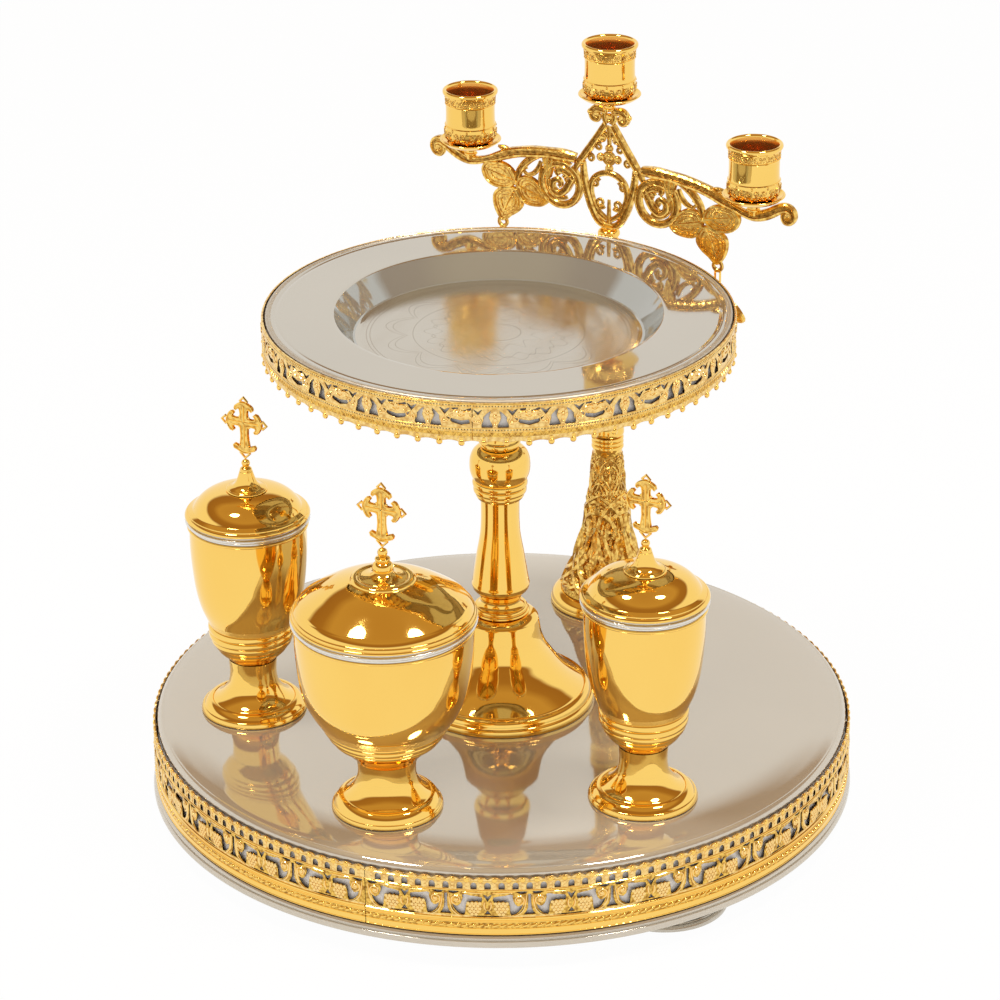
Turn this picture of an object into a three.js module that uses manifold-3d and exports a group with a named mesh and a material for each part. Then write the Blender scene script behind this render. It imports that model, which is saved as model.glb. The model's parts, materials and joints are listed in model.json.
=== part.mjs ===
// A vigil dish: a round footed tray with a pierced gallery, a central column that carries a
// plate for loaves, two covered goblets, a covered bowl and a three-light candelabrum.
// Millimetres, +Z up. The origin is on the table, under the column. The bowl is at the front, -Y.
import * as THREE from 'three';
import { mergeVertices } from 'three/addons/utils/BufferGeometryUtils.js';
import Module from 'manifold-3d';

const wasm = await Module();
wasm.setup();

// Fits and clearances
const SEAT = 0.3;            // between two pieces that rest on or stand in each other
const BORE_PLAY = 0.4;       // radial play of a rod or screw in its hole
const LID_PLAY = 0.5;        // radial play of a lid's collar in its cup

// Base tray and what is under it
const TRAY_TOP = 58;         // height of the flat top over the table
const TRAY_EDGE_R = 196;
const TRAY_SLOPE = 30;       // width of the rounded slope between the flat top and the edge
const TRAY_EDGE_DROP = 3.7;  // the top falls this far from the flat to its edge
const SHEET = 1.5;           // thickness of the spun sheet of the tray and the plate
const LIP_REACH = 4;         // how far the lip stands out past the edge
const LIP_BOTTOM = 11;
const LIP_HEIGHT = 7;
const FLANGE_WIDTH = 8;      // turned in under the tray, it carries the bottom sheet
const BOTTOM_SHEET = 2;
const PAD_R = 36;            // the three round feet
const PAD_INSET = 39;        // from the tray's edge in to the centre of a foot
const PAD_ANGLE = -30;
const PAD_RIM = 2.4;
const PAD_BOSS_R = 11;
const PAD_SCREW_R = 2;
const PAD_SCREW_DEPTH = 5;   // from the pad's seat down to the screw's head
const SCREW_HEAD = 2.5;

// Pierced gallery round the tray, in two strips
const GALLERY_PLAY = 1.2;    // between the tray's wall and the gallery
const GALLERY_WALL = 1;
const GALLERY_HEIGHT = 35;
const GALLERY_UNITS = 28;    // pattern units round the whole tray
const GALLERY_SEAM = -85.5;  // angle of the front seam

// Central column
const ROD_R = 3;
const ROD_TAIL = 9;          // how far a rod reaches below the tray's sheet
const NUT_R = 6.5;
const NUT_HEIGHT = 6;
const BASE_R = 53;
const SCRIBE_PLAY = 1;       // from the column to the ring scribed round it in the tray
const SCRIBE = 0.4;          // depth of that ring, and half its width
const BASE_HEIGHT = 54;
const BASE_NECK_R = 21.3;
const COLLAR_R = 16;
const COLLAR_HEIGHT = 12.5;
const WAIST_R = 11;
const SHAFT_R = 16.2;
const SHAFT_TOP_R = 10.9;
const SHAFT_HEIGHT = 57;
const KNOP_R = 17;
const KNOP_HEIGHT = 31;
const NECK_R = 8.5;
const BOSS_R = 26;           // under the plate
const BOSS_HEIGHT = 5;
const BOSS_WEB = 1.2;        // metal left over the rod's blind hole

// Plate for the loaves and its pierced skirt
const PLATE_RIM_Z = 295.4;
const PLATE_R = 127.7;
const SKIRT_PLAY = 0.6;
const WELL_R = 91.6;
const WELL_FLOOR_R = 80;
const WELL_DEPTH = 14;
const SKIRT_WALL = 1.2;
const SKIRT_HEIGHT = 20;
const SKIRT_UNITS = 23;
const DROPS_PER_UNIT = 3;
const BEAD_DROP = 4.5;
const BEAD_ROOT = 4;
const BEAD_TIP = 1.4;

// Covered vessels: each stands loose on the tray
const CUP_WALL = 1.2;
const MOUTH_WALL = 2.3;      // the bright ring round a cup's mouth
const MOUTH_HEIGHT = 4.5;
const LID_WALL = 1.4;
const LID_EDGE = 2.5;
const LID_COLLAR = 5;        // depth of the collar inside the cup
const FINIAL_HEIGHT = 14.9;
const CROSS_HEIGHT = 37.6;
const CROSS_SPAN = 29;
const CROSS_BAR = 5.6;
const CROSS_THICKNESS = 2.4;
const GOBLET_FOOT_R = 30;
const GOBLET_FOOT_HEIGHT = 31.5;
const GOBLET_STEM_R = 13.2;
const GOBLET_COLLAR_R = 23.9;
const GOBLET_COLLAR_Z = 51;  // height of the ribbed band over the foot's underside
const GOBLET_CUP_R = 32.7;
const GOBLET_BULGE = 2.5;
const GOBLET_HEIGHT = 120;
const GOBLET_LID_RISE = 15.5;
const GOBLET_LID_CURVE = 2.8;
const GOBLET_FINIAL_R = 12.5;
const GOBLET_SIDES = 16;
const BOWL_FOOT_R = 30.3;
const BOWL_FOOT_HEIGHT = 29;
const BOWL_STEM_R = 15.2;
const BOWL_COLLAR_R = 29.6;
const BOWL_COLLAR_Z = 43;
const BOWL_CUP_R = 47.9;
const BOWL_BULGE = 3;
const BOWL_HEIGHT = 114;
const BOWL_LID_RISE = 21.5;
const BOWL_LID_CURVE = 2.3;
const BOWL_FINIAL_R = 16.4;
const BOWL_SIDES = 20;
const STAND_INSET = 55.3;    // from the tray's edge in to the middle of a vessel
const GOBLET_ANGLES = { left: -149.5, right: -31 };
const BOWL_ANGLE = -90;

// Candelabrum
const CANDELABRUM_ANGLE = 89.2;
const POST_REACH = 13;       // from the plate's edge out to the middle of the post
const BRANCH_TURN = -5.6;    // the branches stand turned a little on their post
const STAND_FOOT_R = 33.5;
const STAND_FOOT_HEIGHT = 8;
const TRUMPET_R = 28.3;
const TRUMPET_TOP_R = 9.4;
const TRUMPET_HEIGHT = 99;
const STAND_KNOP_R = 10.5;
const STAND_KNOP_HEIGHT = 9;
const POST_R = 7.2;
const POST_TOP_R = 5.6;
const SOCKET_R = 6.8;
const SOCKET_HEIGHT = 12;
const BRANCH_BASE_Z = 295;   // underside of the casting over the table
const ARM_SPREAD = 93.3;     // from the middle candle to a side candle
const CASTING_HEIGHT = 77;
const CASTING_THICKNESS = 3.4;
const SEAT_BOSS_R = 4.4;     // round seats under the pans
const SIDE_NECK = 6;         // height of the turned neck under a side pan
const PAN_R = 18;
const PAN_DEPTH = 4.2;
const PAN_SHEET = 1.2;
const CUP_SCREW_R = 1.5;
const CUP_SCREW_GRIP = 4;    // how far a cup's screw reaches into its seat
const CUP_SCREW_HEAD_R = 3.3;
const CUP_SCREW_HEAD = 2;
const CUP_SCREW_SINK = 2.5;  // depth of the seat for the head in the cup's floor
const CANDLE_CUP_R = 14.4;
const CANDLE_CUP_HEIGHT = 32.6;
const CANDLE_CUP_WALL = 1.2;
const CANDLE_CUP_FLOOR = 4;

// Pendants
const EYE_R = 3.3;
const EYE_BORE_R = 2.3;
const EYE_THICKNESS = 1.6;
const LINK_LENGTH = 12;
const LINK_GAP = 2.8;        // between the two wires of a link
const LINK_WIRE = 0.9;
const LINK_THICKNESS = 1;
const DROP_SPAN = 36;
const DROP_HEIGHT = 29;
const DROP_SHEET = 1.8;
const LOOP_R = 3.2;
const LOOP_BAR = 1.2;
const LOOP_THICKNESS = 0.8;

// Heights and scales that follow
const TRAY_FLAT_R = TRAY_EDGE_R - TRAY_SLOPE;
const LIP_R = TRAY_EDGE_R + LIP_REACH;
const PAD_CIRCLE_R = TRAY_EDGE_R - PAD_INSET;
const STAND_R = TRAY_EDGE_R - STAND_INSET;
const CANDELABRUM_AT_R = PLATE_R + POST_REACH;
const PLATE_UNDER_Z = PLATE_RIM_Z - WELL_DEPTH - SHEET;
const BOTTOM_SHEET_Z = LIP_BOTTOM + SHEET + SEAT;
const GRID_X = ARM_SPREAD / 100;
const GRID_Z = CASTING_HEIGHT / 80;
const SIDE_SEAT_Z = 28.8 * GRID_Z;

const GOBLET = {
  footR: GOBLET_FOOT_R, footHeight: GOBLET_FOOT_HEIGHT, stemR: GOBLET_STEM_R,
  collarR: GOBLET_COLLAR_R, collarZ: GOBLET_COLLAR_Z, cupR: GOBLET_CUP_R,
  bulge: GOBLET_BULGE, height: GOBLET_HEIGHT, lidRise: GOBLET_LID_RISE,
  lidCurve: GOBLET_LID_CURVE, finialR: GOBLET_FINIAL_R, sides: GOBLET_SIDES,
};
const BOWL = {
  footR: BOWL_FOOT_R, footHeight: BOWL_FOOT_HEIGHT, stemR: BOWL_STEM_R,
  collarR: BOWL_COLLAR_R, collarZ: BOWL_COLLAR_Z, cupR: BOWL_CUP_R,
  bulge: BOWL_BULGE, height: BOWL_HEIGHT, lidRise: BOWL_LID_RISE,
  lidCurve: BOWL_LID_CURVE, finialR: BOWL_FINIAL_R, sides: BOWL_SIDES,
};

const gold = () => ({ color: 0xd9a038, roughness: 0.16, metalness: 1 });
const silver = () => ({ color: 0xc9c3b9, roughness: 0.14, metalness: 1 });
const steel = () => ({ color: 0x9a9a98, roughness: 0.4, metalness: 1 });

// Closed bodies from geometry

function signedVolume(points, triangles) {
  const corner = (i) => new THREE.Vector3().fromArray(points, 3 * triangles[i]);
  let sum = 0;
  for (let i = 0; i < triangles.length; i += 3) {
    sum += corner(i).dot(corner(i + 1).cross(corner(i + 2)));
  }
  return sum / 6;
}

function toSolid(geometry) {
  geometry.deleteAttribute('normal');
  geometry.deleteAttribute('uv');
  const merged = mergeVertices(geometry, 1e-4);
  const index = merged.index.array;
  const triangles = [];
  for (let i = 0; i < index.length; i += 3) {
    const [a, b, c] = [index[i], index[i + 1], index[i + 2]];
    if (a !== b && b !== c && c !== a) triangles.push(a, b, c);
  }
  const vertProperties = new Float32Array(merged.attributes.position.array);
  if (signedVolume(vertProperties, triangles) < 0) triangles.reverse();
  const triVerts = new Uint32Array(triangles);
  return new wasm.Manifold(new wasm.Mesh({ numProp: 3, vertProperties, triVerts }));
}

function toMesh(name, body, finish) {
  const { vertProperties, triVerts } = body.getMesh();
  const geometry = new THREE.BufferGeometry();
  geometry.setAttribute('position', new THREE.BufferAttribute(new Float32Array(vertProperties), 3));
  geometry.setIndex(new THREE.BufferAttribute(new Uint32Array(triVerts), 1));
  geometry.computeVertexNormals();
  const mesh = new THREE.Mesh(geometry, new THREE.MeshStandardMaterial({ ...finish, flatShading: true }));
  mesh.name = name;
  return mesh;
}

function join(bodies) {
  return bodies.reduce((whole, body) => whole.add(body));
}

function outline(r, z) {
  return new THREE.Path().moveTo(r, z);
}

function addCurve(path, steps, rule) {
  for (let i = 1; i <= steps; i += 1) path.lineTo(...rule(i / steps));
  return path;
}

// A body turned about +Z. An outline of radius and height that starts off the axis is closed.
function turned(profile, sides) {
  const points = profile.getPoints();
  if (points[0].x > 0) points.push(points[0].clone());
  return toSolid(new THREE.LatheGeometry(points, sides).rotateX(Math.PI / 2));
}

function cylinder(radius, bottom, top, sides = 12, x = 0, y = 0) {
  const geometry = new THREE.CylinderGeometry(radius, radius, top - bottom, sides).rotateX(Math.PI / 2);
  return toSolid(geometry.translate(x, y, (top + bottom) / 2));
}

// A flat shape standing in the XZ plane, with its thickness shared out on both sides
function upright(shape, thickness, bends = 4) {
  const depth = { depth: thickness, bevelEnabled: false, curveSegments: bends };
  const geometry = new THREE.ExtrudeGeometry(shape, depth).translate(0, 0, -thickness / 2);
  return toSolid(geometry.rotateX(Math.PI / 2));
}

// A prism through the wall of a ring. The shape is drawn flat: x runs round the ring, y is height.
function throughWall(points, radius, wall, angle) {
  const shape = new THREE.Shape(points.map(([x, z]) => new THREE.Vector2(x, z)));
  const geometry = new THREE.ExtrudeGeometry(shape, { depth: wall, bevelEnabled: false });
  geometry.rotateX(Math.PI / 2).rotateZ(Math.PI / 2).translate(radius - wall, 0, 0).rotateZ(angle);
  return toSolid(geometry);
}

function roundTheRing(units, shapes, radius, wall) {
  const bodies = [];
  for (let unit = 0; unit < units; unit += 1) {
    const angle = 2 * Math.PI * (unit + 0.5) / units;
    for (const shape of shapes) bodies.push(throughWall(shape, radius, wall, angle));
  }
  return join(bodies);
}

function ringBody(radius, wall, bottom, top, sides) {
  const profile = outline(radius - wall, bottom)
    .lineTo(radius, bottom)
    .lineTo(radius, top)
    .lineTo(radius - wall, top);
  return turned(profile, sides);
}

function polar(radius, degrees) {
  const angle = THREE.MathUtils.degToRad(degrees);
  return new THREE.Vector3(radius * Math.cos(angle), radius * Math.sin(angle), 0);
}

// Tray, its bottom sheet and feet

function baseTray(boltAt) {
  const edgeZ = TRAY_TOP - TRAY_EDGE_DROP;
  const ledge = LIP_BOTTOM + LIP_HEIGHT;
  const hole = ROD_R + BORE_PLAY;
  const inside = TRAY_EDGE_R - SHEET;
  const scribed = BASE_R + SCRIBE_PLAY;
  const profile = outline(hole, TRAY_TOP)
    .lineTo(scribed, TRAY_TOP)
    .lineTo(scribed + SCRIBE, TRAY_TOP - SCRIBE)
    .lineTo(scribed + 2 * SCRIBE, TRAY_TOP)
    .lineTo(TRAY_FLAT_R, TRAY_TOP)
    .lineTo(TRAY_EDGE_R - 2, edgeZ + 1)
    .lineTo(TRAY_EDGE_R, edgeZ - 1)
    .lineTo(TRAY_EDGE_R, ledge)
    .lineTo(LIP_R - 0.8, ledge)
    .lineTo(LIP_R, LIP_BOTTOM + 2)
    .lineTo(LIP_R - 1.5, LIP_BOTTOM)
    .lineTo(TRAY_EDGE_R - FLANGE_WIDTH, LIP_BOTTOM)
    .lineTo(TRAY_EDGE_R - FLANGE_WIDTH, LIP_BOTTOM + SHEET)
    .lineTo(inside, LIP_BOTTOM + SHEET)
    .lineTo(inside, edgeZ - 1 - SHEET)
    .lineTo(TRAY_FLAT_R, TRAY_TOP - SHEET)
    .lineTo(hole, TRAY_TOP - SHEET);
  const bolt = cylinder(hole, TRAY_TOP - 2 * SHEET, TRAY_TOP + SHEET, 12, boltAt.x, boltAt.y);
  return toMesh('base_tray', turned(profile, 40).subtract(bolt), silver());
}

function padPlaces() {
  return ['front_right', 'back', 'front_left'].map((name, i) => (
    { name, at: polar(PAD_CIRCLE_R, PAD_ANGLE + 120 * i) }
  ));
}

function bottomSheet() {
  const radius = TRAY_EDGE_R - SHEET - 2 * SEAT;
  const top = BOTTOM_SHEET_Z + BOTTOM_SHEET;
  const holes = padPlaces().map(({ at }) => (
    cylinder(PAD_SCREW_R + BORE_PLAY, BOTTOM_SHEET_Z - 1, top + 1, 8, at.x, at.y)
  ));
  return toMesh('bottom_sheet', cylinder(radius, BOTTOM_SHEET_Z, top, 40).subtract(join(holes)), steel());
}

function footPads() {
  const top = BOTTOM_SHEET_Z - SEAT;
  const hole = PAD_SCREW_R + BORE_PLAY;
  const recess = PAD_SCREW_R * 3;
  const profile = outline(hole, top - PAD_SCREW_DEPTH)
    .lineTo(recess, top - PAD_SCREW_DEPTH)
    .lineTo(recess, 0)
    .lineTo(PAD_R, 0)
    .lineTo(PAD_R, PAD_RIM)
    .lineTo(PAD_R * 0.85, PAD_RIM + 1)
    .lineTo(PAD_BOSS_R, LIP_BOTTOM - SEAT)
    .lineTo(PAD_BOSS_R, top)
    .lineTo(hole, top);
  const pad = turned(profile, 12);
  return padPlaces().map(({ name, at }) => placed(toMesh(`foot_${name}`, pad, silver()), at));
}

function footScrews() {
  const headTop = BOTTOM_SHEET_Z - PAD_SCREW_DEPTH - 2 * SEAT;
  const end = BOTTOM_SHEET_Z + BOTTOM_SHEET + 3;
  const head = cylinder(PAD_SCREW_R * 2.4, headTop - SCREW_HEAD, headTop, 8);
  const screw = head.add(cylinder(PAD_SCREW_R, headTop - SCREW_HEAD / 2, end, 8));
  return padPlaces().map(({ name, at }) => placed(toMesh(`foot_screw_${name}`, screw, steel()), at));
}

function placed(mesh, at) {
  mesh.position.add(at);
  return mesh;
}

// Gallery: each unit of the pattern has an opening on both sides of its middle

function galleryGap(side, bottom, pitch) {
  return [
    [side * 0.24 * pitch, bottom + 12.5], [side * 0.31 * pitch, bottom + 17],
    [side * 0.2 * pitch, bottom + 23.5], [side * 0.08 * pitch, bottom + 21],
  ];
}

function gallery() {
  const radius = TRAY_EDGE_R + GALLERY_PLAY + GALLERY_WALL;
  const bottom = LIP_BOTTOM + LIP_HEIGHT + SEAT;
  const top = bottom + GALLERY_HEIGHT;
  const pitch = 2 * Math.PI * radius / GALLERY_UNITS;
  const shapes = [galleryGap(1, bottom, pitch), galleryGap(-1, bottom, pitch)];
  const cuts = roundTheRing(GALLERY_UNITS, shapes, radius + 2 * GALLERY_WALL, 5 * GALLERY_WALL);
  const ring = ringBody(radius, GALLERY_WALL, bottom, top, 2 * GALLERY_UNITS).subtract(cuts);
  const width = 2 * radius + 10;
  return ['right', 'left'].map((name, i) => {
    const away = new THREE.BoxGeometry(width, width, 2 * top).translate(0, (SEAT - width) / 2, 0);
    away.rotateZ(THREE.MathUtils.degToRad(GALLERY_SEAM + 180 * i));
    return toMesh(`gallery_${name}`, ring.subtract(toSolid(away)), gold());
  });
}

// Central column: turned pieces threaded on one rod

function columnBase(z) {
  const hole = ROD_R + BORE_PLAY;
  const top = z + BASE_HEIGHT;
  const inner = BASE_R - 4;
  const bell = (t) => [
    BASE_NECK_R + (BASE_R - 5 - BASE_NECK_R) * (1 - t) ** 3.2,
    z + 7 + (BASE_HEIGHT - 10) * t,
  ];
  const profile = outline(hole, top)
    .lineTo(hole, top - 5)
    .lineTo(BASE_NECK_R - 6, top - 6)
    .lineTo(BASE_NECK_R - 4, z + BASE_HEIGHT * 0.5)
    .lineTo(inner, z + 3)
    .lineTo(inner, z)
    .lineTo(BASE_R, z)
    .lineTo(BASE_R - 1, z + 4)
    .lineTo(...bell(0));
  addCurve(profile, 4, bell).lineTo(BASE_NECK_R - 2, top);
  return toMesh('column_base', turned(profile, 20), gold());
}

// A piece with a hole for the rod, from steps of radius and height above its seat
function threaded(name, z, steps, sides = 12) {
  const hole = ROD_R + BORE_PLAY;
  const profile = outline(hole, z);
  for (const [r, up] of steps) profile.lineTo(r, z + up);
  profile.lineTo(hole, z + steps.at(-1)[1]);
  return toMesh(name, turned(profile, sides), gold());
}

function columnCollar(z) {
  const h = COLLAR_HEIGHT;
  const steps = [
    [COLLAR_R - 2, 0], [COLLAR_R, h * 0.15], [COLLAR_R - 1, h * 0.35], [WAIST_R, h * 0.55], [WAIST_R, h],
  ];
  return threaded('column_collar', z, steps);
}

function columnShaft(z) {
  const h = SHAFT_HEIGHT;
  return threaded('column_shaft', z, [
    [WAIST_R, 0], [SHAFT_R, h * 0.06], [SHAFT_R, h * 0.12], [SHAFT_R - 1.8, h * 0.33],
    [SHAFT_TOP_R + 1.2, h * 0.55], [SHAFT_TOP_R, h * 0.76], [SHAFT_TOP_R, h],
  ], 20);
}

function columnKnop(z) {
  const h = KNOP_HEIGHT;
  const bead = SHAFT_TOP_R + 3.6;
  return threaded('column_knop', z, [
    [SHAFT_TOP_R, 0], [bead, h * 0.05], [bead, h * 0.33], [KNOP_R - 1.4, h * 0.38],
    [KNOP_R, h * 0.53], [KNOP_R, h * 0.7], [bead, h * 0.9], [NECK_R + 1, h],
  ], 20);
}

function columnNeck(z, top) {
  const h = top - z;
  return threaded('column_neck', z, [
    [NECK_R + 1, 0], [NECK_R, h * 0.2], [NECK_R, h * 0.6], [NECK_R + 2.5, h * 0.85],
    [NECK_R + 6, h * 0.95], [NECK_R + 6, h],
  ]);
}

function plateBoss(z) {
  const hole = ROD_R + BORE_PLAY;
  const top = z + BOSS_HEIGHT;
  const profile = outline(0, top)
    .lineTo(0, top - BOSS_WEB)
    .lineTo(hole, top - BOSS_WEB)
    .lineTo(hole, z)
    .lineTo(NECK_R + 6, z)
    .lineTo(BOSS_R, top - 2)
    .lineTo(BOSS_R, top)
    .lineTo(0, top);
  return toMesh('plate_boss', turned(profile, 20), gold());
}

function rod(name, top) {
  return toMesh(name, cylinder(ROD_R, TRAY_TOP - SHEET - ROD_TAIL, top), steel());
}

function rodNut(name) {
  const top = TRAY_TOP - SHEET - SEAT;
  const bore = cylinder(ROD_R + BORE_PLAY, top - NUT_HEIGHT - 1, top + 1);
  return toMesh(name, cylinder(NUT_R, top - NUT_HEIGHT, top, 6).subtract(bore), steel());
}

function column() {
  const bossZ = PLATE_UNDER_Z - SEAT - BOSS_HEIGHT;
  const baseZ = TRAY_TOP + SEAT;
  const collarZ = baseZ + BASE_HEIGHT + SEAT;
  const shaftZ = collarZ + COLLAR_HEIGHT + SEAT;
  const knopZ = shaftZ + SHAFT_HEIGHT + SEAT;
  const neckZ = knopZ + KNOP_HEIGHT + SEAT;
  return [
    columnBase(baseZ), columnCollar(collarZ), columnShaft(shaftZ), columnKnop(knopZ),
    columnNeck(neckZ, bossZ - SEAT), plateBoss(bossZ),
    rod('column_rod', bossZ + BOSS_HEIGHT - BOSS_WEB - SEAT), rodNut('column_nut'),
  ];
}

// Plate for the loaves, with a rolled rim, and the pierced skirt that hangs round it

function upperPlate() {
  const z = PLATE_RIM_Z;
  const floor = z - WELL_DEPTH;
  const profile = outline(0, PLATE_UNDER_Z)
    .lineTo(WELL_FLOOR_R + 1, PLATE_UNDER_Z)
    .lineTo(WELL_R - 2, floor + 3)
    .lineTo(WELL_R + 1, z - SHEET)
    .lineTo(PLATE_R - 3, z - SHEET)
    .lineTo(PLATE_R - 1.2, z - 2 * SHEET)
    .lineTo(PLATE_R, z - SHEET)
    .lineTo(PLATE_R - 1, z)
    .lineTo(WELL_R, z)
    .lineTo(WELL_R - 4, floor + 4)
    .lineTo(WELL_FLOOR_R, floor)
    .lineTo(0, floor);
  return toMesh('upper_plate', turned(profile, 36), silver());
}

function plateSkirt() {
  const radius = PLATE_R + SKIRT_PLAY + SKIRT_WALL;
  const top = PLATE_RIM_Z - 0.7;
  const hem = top - SKIRT_HEIGHT;
  const pitch = 2 * Math.PI * radius / SKIRT_UNITS;
  const gap = (side) => [
    [side * 0.17 * pitch, top - 12], [side * 0.05 * pitch, top - 12],
    [side * 0.02 * pitch, top - 5], [side * 0.13 * pitch, top - 5],
  ];
  const reach = pitch / DROPS_PER_UNIT / 2;
  const betweenBeads = [
    [BEAD_TIP / 2 - reach, hem - BEAD_DROP - 1], [reach - BEAD_TIP / 2, hem - BEAD_DROP - 1],
    [reach - BEAD_ROOT / 2, hem], [BEAD_ROOT / 2 - reach, hem],
  ];
  const through = [radius + SKIRT_WALL, 4 * SKIRT_WALL];
  const ring = ringBody(radius, SKIRT_WALL, hem - BEAD_DROP, top, 2 * SKIRT_UNITS);
  const gaps = roundTheRing(SKIRT_UNITS, [gap(1), gap(-1)], ...through);
  const hemCuts = roundTheRing(SKIRT_UNITS * DROPS_PER_UNIT, [betweenBeads], ...through);
  return toMesh('plate_skirt', ring.subtract(gaps).subtract(hemCuts), gold());
}

// Covered vessels

function vesselFoot(name, size) {
  const h = size.footHeight;
  const sweep = (t) => [size.stemR + (size.footR - 3 - size.stemR) * (1 - t) ** 2.6, 4.5 + h * 0.6 * t];
  const profile = outline(0, h)
    .lineTo(0, h * 0.7)
    .lineTo(size.stemR * 0.6, h * 0.5)
    .lineTo(size.footR - 4, 1.5)
    .lineTo(size.footR - 4, 0)
    .lineTo(size.footR, 0)
    .lineTo(size.footR - 1, 3)
    .lineTo(...sweep(0));
  addCurve(profile, 3, sweep).lineTo(size.stemR + 0.5, h).lineTo(0, h);
  return toMesh(`${name}_foot`, turned(profile, size.sides), gold());
}

function vesselCup(name, size) {
  const low = size.footHeight + SEAT;
  const waist = size.collarZ + 2;
  const shell = (wall) => (t) => [
    size.collarR - wall + (size.cupR - size.collarR) * (1 - (1 - t) ** size.bulge),
    waist + (size.height - waist) * t,
  ];
  const profile = outline(0, low)
    .lineTo(size.stemR + 0.5, low)
    .lineTo(size.collarR - 1.5, size.collarZ - 5)
    .lineTo(size.collarR, size.collarZ - 2)
    .lineTo(size.collarR, waist);
  addCurve(profile, 4, shell(0));
  for (const t of [1, 0.5, 0.15]) profile.lineTo(...shell(CUP_WALL)(t));
  profile.lineTo(size.collarR * 0.6, waist + 1).lineTo(0, waist);
  profile.lineTo(0, low);
  return toMesh(`${name}_cup`, turned(profile, size.sides), gold());
}

function vesselMouth(name, size) {
  const inner = size.cupR + SEAT;
  const low = size.height - MOUTH_HEIGHT;
  const profile = outline(inner, low)
    .lineTo(inner + MOUTH_WALL * 0.6, low)
    .lineTo(inner + MOUTH_WALL, low + MOUTH_HEIGHT * 0.5)
    .lineTo(inner + MOUTH_WALL * 0.8, size.height)
    .lineTo(inner, size.height);
  return toMesh(`${name}_mouth`, turned(profile, size.sides), silver());
}

function lidTop(size) {
  return size.height + SEAT + LID_EDGE + size.lidRise;
}

function vesselLid(name, size) {
  const seat = size.height + SEAT;
  const top = lidTop(size);
  const edge = size.cupR + MOUTH_WALL;
  const domeR = size.cupR + 0.7;
  const collarR = size.cupR - CUP_WALL - LID_PLAY;
  const dome = (t) => [domeR * (1 - t), top - size.lidRise * (1 - t) ** size.lidCurve];
  const under = (t) => [(collarR - LID_WALL) * t, top - LID_WALL - (size.lidRise - 1) * t ** size.lidCurve];
  const profile = outline(0, top - LID_WALL);
  addCurve(profile, 2, under)
    .lineTo(collarR - LID_WALL, seat - LID_COLLAR)
    .lineTo(collarR, seat - LID_COLLAR)
    .lineTo(collarR, seat)
    .lineTo(edge, seat)
    .lineTo(edge - 0.4, seat + LID_EDGE * 0.8)
    .lineTo(...dome(0));
  addCurve(profile, 3, dome).lineTo(0, top - LID_WALL);
  return toMesh(`${name}_lid`, turned(profile, size.sides), gold());
}

function vesselFinial(name, size) {
  const base = lidTop(size) + SEAT;
  const h = FINIAL_HEIGHT - SEAT;
  const profile = outline(0, base)
    .lineTo(size.finialR, base)
    .lineTo(size.finialR * 0.8, base + h * 0.08)
    .lineTo(6.2, base + h * 0.32)
    .lineTo(4.8, base + h * 0.6)
    .lineTo(2, base + h * 0.68)
    .lineTo(2.8, base + h * 0.84)
    .lineTo(1.6, base + h)
    .lineTo(0, base + h)
    .lineTo(0, base);
  return toMesh(`${name}_finial`, turned(profile, 12), gold());
}

// The cross is the same on all three lids: four flared arms, the lower one the longest
function vesselCross(name, size) {
  const upper = CROSS_HEIGHT * 0.41;
  const lower = CROSS_HEIGHT - upper;
  const bar = CROSS_BAR / 2;
  const arm = (length) => [
    [-bar, bar], [-bar, length - 7], [-bar * 2.1, length - 3.6], [-bar * 0.5, length],
    [bar * 0.5, length], [bar * 2.1, length - 3.6], [bar, length - 7],
  ];
  const middle = new THREE.Vector2();
  const points = [upper, CROSS_SPAN / 2, lower, CROSS_SPAN / 2].flatMap((length, quarter) => (
    arm(length).map(([x, z]) => new THREE.Vector2(x, z).rotateAround(middle, -quarter * Math.PI / 2))
  ));
  const mesh = toMesh(`${name}_cross`, upright(new THREE.Shape(points), CROSS_THICKNESS), gold());
  mesh.position.z = lidTop(size) + FINIAL_HEIGHT + SEAT + lower;
  return mesh;
}

function vessel(name, size, angle) {
  const group = new THREE.Group();
  group.position.copy(polar(STAND_R, angle)).setZ(TRAY_TOP + SEAT);
  const makers = [vesselFoot, vesselCup, vesselMouth, vesselLid, vesselFinial, vesselCross];
  for (const make of makers) group.add(make(name, size));
  return group;
}

// Candelabrum: foot, embossed trumpet and post on one rod

function candelabrumStand(top) {
  const footZ = TRAY_TOP + SEAT;
  const trumpetZ = footZ + STAND_FOOT_HEIGHT + SEAT;
  const postZ = trumpetZ + TRUMPET_HEIGHT + SEAT;
  const flare = (t) => [TRUMPET_TOP_R + (TRUMPET_R - TRUMPET_TOP_R) * (1 - t) ** 3, TRUMPET_HEIGHT * t];
  const knop = STAND_KNOP_HEIGHT;
  const post = top - postZ;
  return [
    threaded('candelabrum_foot', footZ, [
      [STAND_FOOT_R, 0], [STAND_FOOT_R - 0.5, 2.5], [TRUMPET_R + 2, 5], [TRUMPET_R, STAND_FOOT_HEIGHT],
    ], 24),
    threaded('candelabrum_trumpet', trumpetZ, [0, 0.08, 0.18, 0.3, 0.5, 0.75, 1].map(flare)),
    threaded('candelabrum_post', postZ, [
      [TRUMPET_TOP_R, 0], [STAND_KNOP_R, 1.5], [STAND_KNOP_R, knop - 3], [POST_R, knop],
      [POST_TOP_R, post - 4], [POST_TOP_R, post],
    ]),
  ];
}

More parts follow.
